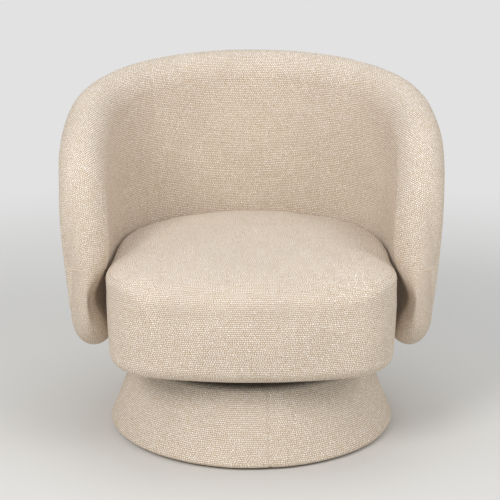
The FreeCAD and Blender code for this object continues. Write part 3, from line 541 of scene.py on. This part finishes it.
def seat_profile(seat):
    """The cushion's profile, from the middle of its underside out, up its side and in to its crown.

    At each column: how far it lies inside the edge, its level, its share of the way out from the middle, and
    its rise, crown (1 - share^2.2) on the top. Also the column where each of the five parts starts, and the
    one just past the seam between the boxing and the top."""
    foot_turn = np.linspace(0, math.pi / 2, 11)
    beside = SEAM_TURN + np.radians(both_sides(0.7, 2, 3.5, 6))
    turn = np.unique(np.concatenate([np.linspace(0, ROLL_END, 15), beside]))
    upright = np.linspace(seat.floor + seat.foot_roll, seat.edge - seat.roll, 20)[1:-1]
    top = np.concatenate([[0.985], np.linspace(1, 0, 31)[1:-1] ** 1.15])
    parts = [
        (seat.foot_roll, seat.floor, np.linspace(0, 1, 15)[1:-1], 0.0),
        (seat.foot_roll * (1 - np.sin(foot_turn)), seat.floor + seat.foot_roll * (1 - np.cos(foot_turn)), 1.0, 0.0),
        (0.0, upright, 1.0, 0.0),
        (seat.roll * (1 - np.cos(turn)), seat.edge - seat.roll * (1 - np.sin(turn)), 1.0, 0.0),
        (seat.roll * (1 - math.cos(ROLL_END)), seat.edge - seat.roll * (1 - math.sin(ROLL_END)), top,
         seat.crown * (1 - top ** CROWN_POWER)),
    ]
    parts = [np.broadcast_arrays(*part) for part in parts]
    starts = np.cumsum([0] + [part[0].size for part in parts])
    return np.concatenate(parts, 1), starts, starts[3] + int(np.searchsorted(turn, SEAM_TURN))


def make_seat(seat, shell):
    """The cushion's grid: its profile at stations round its edge, closed at the middle of both its faces.

    An inset is an offset of the edge's arcs. The roll of the top edge is squeezed tighter at the sides and back.
    From 75 to 205 mm ahead of the axis, beside the arms' hollows, each side swells out by the bulge times the
    outward direction's share across. The whole is sheared up towards the back. Returns the grid, the points, faces
    and cloth layout, the run along the profile past the seam, and which faces are the underside's."""
    start, legs = seat_legs(seat, shell)
    chain, half = arc_chain(start, legs)
    travel = np.linspace(-half, half, 421)[:-1]
    (inset, level, share, rise), starts, seam = seat_profile(seat)
    across, along = np.subtract(along_chain(chain, travel, 1.0), along_chain(chain, travel))
    beside_wall = np.maximum(smooth_step(np.abs(across), *BESIDE_ARMS), smooth_step(along, *BEFORE_BACK))
    side = starts[2]
    side_level = level[side]
    tight = np.where(level > seat.edge - seat.roll, 1 - seat.squeeze * beside_wall[:, None], 1.0)
    level = np.where(tight < 1, seat.edge - (seat.edge - level) * tight, level)
    inset = inset * tight + (shell.draw_in - shell.thinning) * draw_share(shell, level)
    travels = np.broadcast_to(travel[:, None], inset.shape)
    x, y = along_chain(chain, travels, -inset)
    x += seat.bulge * across[:, None] * smooth_step(-y, *BULGE_AHEAD)
    middle = (start - seat.reach) / 2
    x, y = x * share, middle + (y - middle) * share
    tilt = seat.slope * (level - seat.floor) / (seat.edge - seat.floor)
    points = np.stack([x, y, level + rise + (y + seat.reach) * np.tan(tilt)], 2)
    rows, columns = x.shape
    run = np.cumsum(np.linalg.norm(np.diff(points, axis=1, prepend=points[:, :1]), axis=2), 1)
    past_seam = run - run[:, seam - 1:seam + 1].mean(1, keepdims=True)
    boxing = np.stack([travels, run - run[:, side:side + 1] + side_level], 2)
    boxing = np.concatenate([boxing, boxing[:1] + [2 * half, 0.0]])
    top = np.concatenate([points, points[:1]])[:, :, :2]
    faces = grid_faces(rows, columns, True, False)
    column = np.arange(columns - 1)
    on_boxing = np.tile((column >= starts[1]) & (column < seam), rows)
    layout = np.where(on_boxing[:, None, None], cell_corners(boxing), cell_corners(top))
    first = np.arange(rows) * columns
    caps = np.concatenate([fan(first, rows * columns, True), fan(first + columns - 1, rows * columns + 1, False)])
    flat = np.concatenate([points.reshape(-1, 3), points[:, [0, -1]].mean(0)])
    beneath = np.concatenate([np.tile(column < starts[1], rows), np.arange(2 * rows) < rows])
    return (points, flat, np.concatenate([faces, caps]), np.concatenate([layout, flat[caps][:, :, :2]]),
            past_seam, beneath)


def settle(piece):
    """Turns the piece's modifiers into its mesh."""
    graph = bpy.context.evaluated_depsgraph_get()
    mesh = bpy.data.meshes.new_from_object(piece.evaluated_get(graph))
    piece.modifiers.clear()
    piece.data = mesh


def read_points(mesh):
    """The mesh's points as an array."""
    values = np.zeros(len(mesh.vertices) * 3, np.float32)
    mesh.vertices.foreach_get("co", values)
    return values.reshape(-1, 3)


TWIN_VOXEL, TWIN_DRAWN_IN, TWIN_REACH, TWIN_STEPS = 6 * MM, 5 * MM, 14 * MM, 20
STUFFED_RANGE, STUFFED_SMOOTHINGS = (-0.0022, 0.0060), 12


def stuffed_twin(piece, held_below):
    """A twin of the piece, blown up as cloth: remeshed in 6 mm voxels, drawn in 5 mm, held at its underside and
    pushed outward for 20 steps, with no point further than 14 mm from where it began."""
    scene = bpy.context.scene
    twin = bpy.data.objects.new(f"{piece.name}_twin", piece.data.copy())
    scene.collection.objects.link(twin)
    remesh = twin.modifiers.new("Voxels", "REMESH")
    remesh.mode, remesh.voxel_size = "VOXEL", TWIN_VOXEL
    settle(twin)
    began = read_points(twin.data)
    normals = np.zeros(len(began) * 3, np.float32)
    twin.data.vertex_normals.foreach_get("vector", normals)
    began -= TWIN_DRAWN_IN * normals.reshape(-1, 3)
    twin.data.vertices.foreach_set("co", began.ravel())
    held = twin.vertex_groups.new(name="held")
    held.add(np.flatnonzero(began[:, 2] < held_below).tolist(), 1.0, "REPLACE")
    cloth = twin.modifiers.new("Cloth", "CLOTH")
    looks = cloth.settings
    looks.quality, looks.mass, looks.air_damping = 6, 0.3, 2.0
    looks.tension_stiffness = looks.compression_stiffness = 12.0
    looks.shear_stiffness, looks.bending_stiffness = 8.0, 2.0
    looks.use_pressure, looks.uniform_pressure_force = True, 4.0
    looks.effector_weights.gravity = 0.0
    looks.vertex_group_mass = "held"
    for step in range(1, TWIN_STEPS + 1):
        scene.frame_set(step)
    settle(twin)
    moved = read_points(twin.data) - began
    far = np.linalg.norm(moved, axis=1, keepdims=True)
    ended = began + moved * np.minimum(1, TWIN_REACH / np.maximum(far, 1e-9))
    twin.data.vertices.foreach_set("co", ended.ravel())
    scene.frame_set(1)
    return twin


def smooth_over(values, passes, close_rows):
    """Repeated averages with weights 1 2 1 along the rows and the columns of a grid."""
    for _ in range(passes):
        rows = np.pad(values, ((1, 1), (0, 0)), mode="wrap" if close_rows else "edge")
        values = (rows[:-2] + 2 * rows[1:-1] + rows[2:]) / 4
        columns = np.pad(values, ((0, 0), (1, 1)), mode="edge")
        values = (columns[:, :-2] + 2 * columns[:, 1:-1] + columns[:, 2:]) / 4
    return values


def stuffing(piece, points, normals, held_below):
    """How far the stuffed twin's surface lies from each point of the grid along its normal, less the
    median, so that the cushion keeps its size, then kept within a range and smoothed."""
    twin = stuffed_twin(piece, held_below)
    wrap = piece.modifiers.new("Wrap", "SHRINKWRAP")
    wrap.target, wrap.wrap_method = twin, "NEAREST_SURFACEPOINT"
    graph = bpy.context.evaluated_depsgraph_get()
    wrapped = read_points(piece.evaluated_get(graph).data)[:points.shape[0] * points.shape[1]]
    piece.modifiers.clear()
    bpy.data.objects.remove(twin)
    offset = np.einsum("ijk,ijk->ij", wrapped.reshape(points.shape) - points, normals)
    return smooth_over(np.clip(offset - np.median(offset), *STUFFED_RANGE), STUFFED_SMOOTHINGS, True)


# Plinth
PLINTH_HOLLOW = 1.5 * MM
PLINTH_UNEVEN, PLINTH_WAVE = 0.0007, 0.11
PLINTH_SEAM_FINE, PLINTH_SEAM_SOFT = (0.0018, 0.0026), (0.0008, 0.014)


def make_plinth(plinth):
    """The plinth cover's grid: a closed profile turned once round. The side is hollowed by 1.5 mm sin(pi s)."""
    turn = math.pi / 2 * np.linspace(0, 1, 9)
    slope = (plinth.foot_radius - plinth.neck_radius) / (plinth.shoulder - plinth.skirt)
    side, top, lining = np.linspace(0, 1, 27)[1:-1], np.linspace(0, 1, 10)[1:], np.linspace(0, 1, 12)[1:]
    low, high = plinth.skirt + plinth.rounding, plinth.shoulder - plinth.shoulder_rounding
    edge = plinth.neck_radius - plinth.shoulder_rounding
    under = plinth.shoulder - plinth.hem
    inside = plinth.foot_radius - plinth.padding - slope * (under - plinth.skirt)
    parts = [
        (plinth.foot_radius - plinth.rounding * (1 - np.sin(turn)),
         plinth.skirt + plinth.rounding * (1 - np.cos(turn))),
        (plinth.foot_radius + (plinth.neck_radius - plinth.foot_radius) * side
         - PLINTH_HOLLOW * np.sin(math.pi * side), low + (high - low) * side),
        (edge + plinth.shoulder_rounding * np.cos(turn), high + plinth.shoulder_rounding * np.sin(turn)),
        (edge + (plinth.opening - edge) * top, plinth.shoulder),
        (np.linspace(plinth.opening, inside, 8), under),
        (inside + slope * (under - plinth.skirt) * lining, under + (plinth.skirt - under) * lining),
    ]
    radius, level = np.concatenate([np.broadcast_arrays(*part) for part in parts], 1)
    on_side = (np.arange(len(radius)) < sum(len(part[0]) for part in parts[:3])).astype(float)
    beside = MM * both_sides(0.4, 1.2, 2.2, 3.4, 5, 8, 12) / plinth.foot_radius
    seams = (plinth.seam_turn, plinth.seam_turn + math.pi)
    heading = np.unique(np.concatenate([np.linspace(0, 2 * math.pi, 361)[:-1], *(seam + beside for seam in seams)]))
    points = np.stack([radius * np.sin(heading)[:, None], -radius * np.cos(heading)[:, None],
                       np.broadcast_to(level, (len(heading), len(level)))], 2)
    normals = surface_normals(points, True, True, points.mean(1, keepdims=True))
    swell = PLINTH_UNEVEN * ripple(points[..., 0], points[..., 1], points[..., 2], PLINTH_WAVE) * on_side
    for seam in seams:
        gap = ((heading - seam) * plinth.foot_radius)[:, None]
        swell = swell - on_side * furrow(gap, PLINTH_SEAM_FINE, PLINTH_SEAM_SOFT)
    points = points + normals * swell[..., None]
    grown = np.concatenate([points, points[:, :1]], 1)
    run = np.cumsum(np.linalg.norm(np.diff(grown, axis=1, prepend=grown[:, :1]), axis=2), 1)
    around = np.append(heading, heading[0] + 2 * math.pi) * (plinth.foot_radius + plinth.neck_radius) / 2
    layout = np.stack([np.broadcast_to(around[:, None], (len(heading) + 1, len(radius) + 1)),
                       np.concatenate([run, run[:1]], 0)], 2)
    return points.reshape(-1, 3), grid_faces(len(heading), len(radius), True, True), cell_corners(layout)


# Finishes
def add(tree, kind, settings=None, links=None):
    """Adds a node and returns its outputs. Its settings may be the name of its operation alone, and its inputs
    are sockets to link from or plain values."""
    made = tree.nodes.new(kind)
    if isinstance(settings, str):
        settings = {"operation": settings}
    for key, value in (settings or {}).items():
        setattr(made, key, value)
    for key, value in (links or {}).items():
        if isinstance(value, bpy.types.NodeSocket):
            tree.links.new(value, made.inputs[key])
        else:
            made.inputs[key].default_value = value
    return made.outputs


MATH, VECTOR, MIX = "ShaderNodeMath", "ShaderNodeVectorMath", "ShaderNodeMix"
COLOUR_MIX = {"data_type": "RGBA", "clamp_factor": True}


def new_finish(name, **surface):
    """A material with its surface shader, its settings, and its tree."""
    finish = bpy.data.materials.new(name)
    finish.use_nodes = True
    shader = finish.node_tree.nodes["Principled BSDF"]
    for key, value in surface.items():
        shader.inputs[key.replace("_", " ")].default_value = value
    return finish, finish.node_tree, shader


def colour_and_relief(tree, shader, colour, height, strength, depth):
    """Links a colour and a relief to the surface shader."""
    tree.links.new(colour, shader.inputs["Base Color"])
    bump = add(tree, "ShaderNodeBump", {}, {"Strength": strength, "Distance": depth, "Height": height})[0]
    tree.links.new(bump, shader.inputs["Normal"])


DRIFT_SIZE, FIBRE_SIZE, TONE_SIZE = 0.009, 0.0016, 0.09
DRIFT_PULL = (0.0080, 0.0045, 0.0)


def woven_cover(looks):
    """Boucle, woven in thick slubbed rows: matt and soft, pale nubs over gaps darkened with painted shade, no gloss
    at all.

    A nub is (sin(pi r) sin(pi c))^0.7 over its row r and its place c along it, with its own height and shade.
    Each row starts half a nub on from the last, and by chance up to a third of a nub further."""
    finish, tree, shader = new_finish("boucle_woven", Roughness=0.95, Sheen_Weight=0.03, Sheen_Roughness=0.5,
                                      Specular_IOR_Level=0.1)
    shader.inputs["Sheen Tint"].default_value = looks.pale
    place = add(tree, "ShaderNodeUVMap", {"uv_map": "cloth"})[0]
    drift = add(tree, "ShaderNodeTexNoise", {}, {"Vector": place, "Scale": 1 / DRIFT_SIZE, "Detail": 3.0})
    pulled = add(tree, VECTOR, "MULTIPLY_ADD", {0: drift["Color"], 1: DRIFT_PULL, 2: place})[0]
    counted = add(tree, VECTOR, "DIVIDE", {0: pulled, 1: (looks.nub, looks.row, 1.0)})[0]
    parts = add(tree, "ShaderNodeSeparateXYZ", {}, {0: counted})
    row_number = add(tree, MATH, "FLOOR", {0: parts[1]})[0]
    stray = add(tree, "ShaderNodeTexWhiteNoise", {"noise_dimensions": "1D"}, {"W": row_number})["Value"]
    strayed = add(tree, MATH, "MULTIPLY_ADD", {0: stray, 1: 0.35, 2: parts[0]})[0]
    nub = add(tree, MATH, "MULTIPLY_ADD", {0: row_number, 1: 0.5, 2: strayed})[0]
    laid = add(tree, "ShaderNodeCombineXYZ", {}, {0: nub, 1: parts[1]})[0]
    cell = add(tree, VECTOR, "FLOOR", {0: laid})[0]
    chance = add(tree, "ShaderNodeTexWhiteNoise", {"noise_dimensions": "2D"}, {"Vector": cell})
    inside = add(tree, VECTOR, "FRACTION", {0: laid})[0]
    turned = add(tree, VECTOR, "SCALE", {0: inside, "Scale": math.pi})[0]
    waves = add(tree, VECTOR, "SINE", {0: turned})[0]
    wave = add(tree, "ShaderNodeSeparateXYZ", {}, {0: waves})
    dome = add(tree, MATH, "MULTIPLY", {0: wave[0], 1: wave[1]})[0]
    nub_form = add(tree, MATH, "POWER", {0: dome, 1: 0.7})[0]
    tall = add(tree, MATH, "MULTIPLY_ADD", {0: chance["Value"], 1: 0.24, 2: 0.76})[0]
    nub_height = add(tree, MATH, "MULTIPLY", {0: nub_form, 1: tall})[0]
    fibre = add(tree, "ShaderNodeTexNoise", {}, {"Vector": place, "Scale": 1 / FIBRE_SIZE, "Detail": 3.0,
                                                 "Roughness": 0.6})[0]
    height = add(tree, MATH, "MULTIPLY_ADD", {0: fibre, 1: 0.40, 2: nub_height})[0]
    shade = add(tree, "ShaderNodeSeparateColor", {}, {0: chance["Color"]})[1]
    yarn = add(tree, MIX, COLOUR_MIX, {0: shade, 6: looks.dark, 7: looks.pale})[2]
    # Painted shade: where the relief is low, between the nubs, the colour turns towards the gap colour.
    body = add(tree, "ShaderNodeMapRange", {}, {0: height, 1: 0.28, 2: 0.96})[0]
    woven = add(tree, MIX, COLOUR_MIX, {0: body, 6: looks.gap, 7: yarn})[2]
    slow = add(tree, "ShaderNodeTexNoise", {}, {"Vector": place, "Scale": 1 / TONE_SIZE, "Detail": 2.0})[0]
    tone = add(tree, "ShaderNodeMapRange", {}, {0: slow, 1: 0.3, 2: 0.7, 3: 0.97, 4: 1.025})[0]
    toned = add(tree, "ShaderNodeHueSaturation", {}, {"Value": tone, "Color": woven})[0]
    colour_and_relief(tree, shader, toned, height, 0.7, 1.1 * MM)
    return finish


def dust_cloth_and_painted_shade():
    """Spunbond polypropylene, heat bonded: thin, near black and dull, with a faint mottle of fibres 0.5 mm apart. A
    dust cover under the seat, whose warm brown-black is partly painted shade for the deep gap under the seat.
    """
    return grained("spunbond_and_painted_shade", "#2A241C", "#1A1712", (1.0, 1.0, 1.0), 1 / 0.0005, 0.05 * MM,
                   Roughness=0.9)


def grained(name, pale, dark, stretch, scale, depth, **surface):
    """A stretched noise over object coordinates as colour and relief."""
    finish, tree, shader = new_finish(name, **surface)
    place = add(tree, "ShaderNodeTexCoord")["Object"]
    turned = add(tree, "ShaderNodeMapping", {}, {"Vector": place, "Scale": stretch})[0]
    grain = add(tree, "ShaderNodeTexNoise", {}, {"Vector": turned, "Scale": scale, "Detail": 6.0,
                                                 "Roughness": 0.65})[0]
    share = add(tree, "ShaderNodeMapRange", {}, {0: grain, 1: 0.32, 2: 0.68})[0]
    mixed = add(tree, MIX, COLOUR_MIX, {0: share, 6: linear(dark), 7: linear(pale)})[2]
    colour_and_relief(tree, shader, mixed, grain, 0.5, depth)
    return finish


def birch_plywood():
    """Birch plywood, rotary cut and sanded: warm pale face with long faint figure, dull."""
    return grained("birch_plywood_sanded", "#E3C79B", "#C9A673", (1.0, 14.0, 1.0), 9.0, 0.15 * MM, Roughness=0.62)


def bent_board():
    """Grey board, pressed from fibre and bent: even, dull and slightly mottled."""
    return grained("fibre_board_pressed", "#B7A68C", "#8F7E66", (1.0, 1.0, 1.0), 260.0, 0.2 * MM, Roughness=0.85)


def pressed_steel():
    """Sheet steel, pressed and powder coated black: a fine orange-peel gloss."""
    return grained("steel_powder_coated", "#2E2F31", "#232425", (1.0, 1.0, 1.0), 900.0, 0.06 * MM, Roughness=0.42)


def slide_acetal():
    """Acetal, moulded: off-white, smooth and faintly waxy."""
    return grained("acetal_moulded", "#ECEAE2", "#DEDBD0", (1.0, 1.0, 1.0), 120.0, 0.02 * MM, Roughness=0.35,
                   IOR=1.48)


def glide_nylon():
    """Nylon, moulded: near black, scuffed dull where it slides."""
    return grained("nylon_moulded", "#3A3836", "#2A2927", (1.0, 1.0, 1.0), 700.0, 0.05 * MM, Roughness=0.55,
                   IOR=1.53)


def elastic_webbing():
    """Jute and rubber webbing, woven flat: black with ribs 2.5 mm apart both ways."""
    finish, tree, shader = new_finish("webbing_woven", Roughness=0.8)
    place = add(tree, "ShaderNodeTexCoord")["Object"]
    turned = add(tree, VECTOR, "SCALE", {0: place, "Scale": math.pi / (2.5 * MM)})[0]
    waves = add(tree, VECTOR, "SINE", {0: turned})[0]
    ribs = add(tree, VECTOR, "ABSOLUTE", {0: waves})[0]
    rib = add(tree, "ShaderNodeSeparateXYZ", {}, {0: ribs})
    height = add(tree, MATH, "MULTIPLY", {0: rib[0], 1: rib[1]})[0]
    mixed = add(tree, MIX, COLOUR_MIX, {0: height, 6: linear("#141312"), 7: linear("#3B3732")})[2]
    colour_and_relief(tree, shader, mixed, height, 0.7, 0.5 * MM)
    return finish


def looked_at(tree):
    """1 for rays from the camera, a mirror-like surface or glass, 0 for light that falls on the chair."""
    path = add(tree, "ShaderNodeLightPath")
    seen = path["Is Camera Ray"]
    for ray in ("Is Glossy Ray", "Is Transmission Ray"):
        seen = add(tree, MATH, "MAXIMUM", {0: seen, 1: path[ray]})[0]
    return seen


def stage_floor(looks):
    """Floor paint, rolled and matt: plain near the chair, and further off the even pale tone of a studio backdrop."""
    finish, tree, shader = new_finish("floor_painted", Roughness=0.75, Specular_IOR_Level=0.15)
    shader.inputs["Base Color"].default_value = looks.floor
    place = add(tree, "ShaderNodeTexCoord")["Object"]
    away = add(tree, VECTOR, "LENGTH", {0: place})["Value"]
    far = add(tree, "ShaderNodeMapRange", {"interpolation_type": "SMOOTHSTEP"}, {0: away, 1: 0.7, 2: 2.6})[0]
    share = add(tree, MATH, "MULTIPLY", {0: far, 1: looked_at(tree)})[0]
    even = add(tree, "ShaderNodeEmission", {}, {"Color": looks.backdrop, "Strength": 1.0})[0]
    both = add(tree, "ShaderNodeMixShader", {}, {0: share, 1: shader.outputs[0], 2: even})[0]
    tree.links.new(both, tree.nodes["Material Output"].inputs["Surface"])
    return finish


def studio_sky(looks):
    """Even light from all round, which the camera sees in the backdrop's tone."""
    world = bpy.data.worlds.new("studio")
    world.use_nodes = True
    tree = world.node_tree
    light = tree.nodes["Background"]
    light.inputs["Color"].default_value = linear("#F4F6F8")
    light.inputs["Strength"].default_value = looks.sky
    even = add(tree, "ShaderNodeBackground", {}, {"Color": looks.backdrop, "Strength": 1.0})[0]
    both = add(tree, "ShaderNodeMixShader", {}, {0: looked_at(tree), 1: light.outputs[0], 2: even})[0]
    tree.links.new(both, tree.nodes["World Output"].inputs["Surface"])
    return world


FINISHES = {
    birch_plywood: ("plinth_bottom_board", "plinth_top_board", "plinth_ribs", "seat_platform", "seat_front_rail",
                    "seat_back_rail", "seat_left_rail", "seat_right_rail", "seat_posts", "back_lower_rail",
                    "back_top_rail", "back_ribs"),
    bent_board: ("back_outer_panel", "back_inner_panel"),
    pressed_steel: ("swivel_lower_plate", "swivel_upper_plate"),
    slide_acetal: ("swivel_slide_ring",),
    glide_nylon: ("floor_glides",),
    elastic_webbing: ("seat_webbing_long", "seat_webbing_cross"),
}


def cover_finish():
    """The woven cover, made once and shared by the three covers."""
    found = bpy.data.materials.get("boucle_woven")
    return found or woven_cover(bpy.context.scene.tub_cloth)


# Operators
class TUB_OT_shell(Operator):
    """Build the cover of the back and arms"""
    bl_idname = "tub.shell"
    bl_label = "Back and arms"

    def execute(self, context):
        form = ShellForm(context.scene.tub_shell)
        piece = mesh_piece("back_cover", *make_shell(form))
        dress(piece, "seat", "woven_cover", cover_finish(), "back_upholstery")
        return {"FINISHED"}


class TUB_OT_seat(Operator):
    """Build the seat cushion: stuffed as cloth, held back below its top edge, drawn in at its seam"""
    bl_idname = "tub.seat"
    bl_label = "Seat cushion"

    def execute(self, context):
        seat, shell = context.scene.tub_seat, context.scene.tub_shell
        points, flat, faces, layout, past_seam, beneath = make_seat(seat, shell)
        piece = mesh_piece("seat_cover", flat, faces, layout)
        normals = surface_normals(points, True, False, points.mean((0, 1)))
        swell = stuffing(piece, points, normals, seat.floor + seat.foot_roll)
        x, y, z = np.moveaxis(points, 2, 0)
        held_back = HELD_SWELL + (1 - HELD_SWELL) * smooth_step(z, seat.edge - seat.roll, seat.edge)
        swell = np.where(swell > 0, swell * held_back, swell)
        swell = swell + SEAT_UNEVEN * ripple(x, y, z, SEAT_WAVE) - furrow(past_seam, SEAT_SEAM_FINE, SEAT_SEAM_SOFT)
        swell = swell * np.clip((z - seat.floor) / UNDERSIDE_FADE, 0, 1)
        moved = points + normals * swell[..., None]
        tips = np.stack([moved[:, 0].mean(0), moved[:, -1].mean(0)])
        piece.data.vertices.foreach_set("co", np.concatenate([moved.reshape(-1, 3), tips]).astype(np.float32).ravel())
        piece.data.update()
        dress(piece, "seat", "woven_cover", cover_finish(), "seat_cushion")
        # The underside takes the near-black dust cloth: a dust cover, whose warm dark tint is partly painted shade
        # for the gap under the seat.
        piece.data.materials.append(dust_cloth_and_painted_shade())
        piece.data.polygons.foreach_set("material_index", beneath.astype(np.int32))
        return {"FINISHED"}


class TUB_OT_plinth(Operator):
    """Build the padded cover of the plinth"""
    bl_idname = "tub.plinth"
    bl_label = "Plinth cover"

    def execute(self, context):
        piece = mesh_piece("plinth_cover", *make_plinth(context.scene.tub_plinth))
        dress(piece, "plinth", "woven_cover", cover_finish(), "plinth_upholstery")
        return {"FINISHED"}


class TUB_OT_frame(Operator):
    """Give the frame, the swivel and the glides their finishes"""
    bl_idname = "tub.frame"
    bl_label = "Frame and swivel"

    def execute(self, context):
        for finish, nodes in FINISHES.items():
            material = finish()
            for name in nodes:
                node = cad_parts[name]
                node.data.materials.clear()
                node.data.materials.append(material)
        return {"FINISHED"}


class TUB_OT_stage(Operator):
    """Build the floor, the light and the camera"""
    bl_idname = "tub.stage"
    bl_label = "Stage"

    def execute(self, context):
        scene, looks = context.scene, context.scene.tub_stage
        half = 30.0
        corners = np.array([[-half, -half, 0], [half, -half, 0], [half, half, 0], [-half, half, 0]])
        floor = mesh_piece("floor", corners, np.array([[0, 1, 2, 3]]))
        floor.data.materials.append(stage_floor(looks))
        lights = (("key", looks.key, 1.7, (-2.0, -2.9, 2.7), "#FFFFFF"),
                  ("fill", looks.fill, 2.2, (2.6, -2.2, 2.4), "#FFFFFF"),
                  ("top", looks.top, 2.0, (0.2, 0.2, 3.4), "#E4F0FF"))
        aim = Vector((0.0, 0.0, 0.42))
        for name, power, size, place, tint in lights:
            data = bpy.data.lights.new(name, "AREA")
            data.shape, data.size, data.energy, data.color = "DISK", size, power, linear(tint)[:3]
            lamp = bpy.data.objects.new(name, data)
            lamp.location = place
            lamp.rotation_euler = (aim - lamp.location).to_track_quat("-Z", "Y").to_euler()
            scene.collection.objects.link(lamp)
        scene.world = studio_sky(looks)
        camera = bpy.data.objects.new("camera", bpy.data.cameras.new("camera"))
        camera.data.lens, camera.data.sensor_width = 93.6, 36.0
        camera.data.shift_x = -0.003
        camera.location = (0.0, -2.630, 1.057)
        camera.rotation_euler = (math.radians(90 - 14.72), 0.0, 0.0)
        scene.collection.objects.link(camera)
        scene.camera = camera
        scene.view_settings.view_transform = "Standard"
        return {"FINISHED"}


OPERATORS = (TUB_OT_shell, TUB_OT_seat, TUB_OT_plinth, TUB_OT_frame, TUB_OT_stage)


class TUB_PT_panel(Panel):
    """Sizes, looks and steps of the tub chair"""
    bl_label = "Tub chair"
    bl_idname = "TUB_PT_panel"
    bl_space_type = "VIEW_3D"
    bl_region_type = "UI"
    bl_category = "Tub chair"

    def draw(self, context):
        for name, kind in GROUPS.items():
            box = self.layout.box()
            box.label(text=kind.__doc__)
            group = getattr(context.scene, f"tub_{name}")
            for key in kind.__annotations__:
                box.prop(group, key)
        for operator in OPERATORS:
            self.layout.operator(operator.bl_idname)


CLASSES = (*GROUPS.values(), *OPERATORS, TUB_PT_panel)


def register():
    """Adds the classes and the settings to Blender."""
    for kind in CLASSES:
        bpy.utils.register_class(kind)
    for name, kind in GROUPS.items():
        setattr(bpy.types.Scene, f"tub_{name}", PointerProperty(type=kind))


def unregister():
    """Takes them out again."""
    for name in GROUPS:
        delattr(bpy.types.Scene, f"tub_{name}")
    for kind in reversed(CLASSES):
        bpy.utils.unregister_class(kind)


def main():
    """Builds the chair's looks and its stage."""
    register()
    bpy.ops.tub.shell()
    bpy.ops.tub.seat()
    bpy.ops.tub.plinth()
    bpy.ops.tub.frame()
    bpy.ops.tub.stage()


if __name__ == "__main__":
    main()
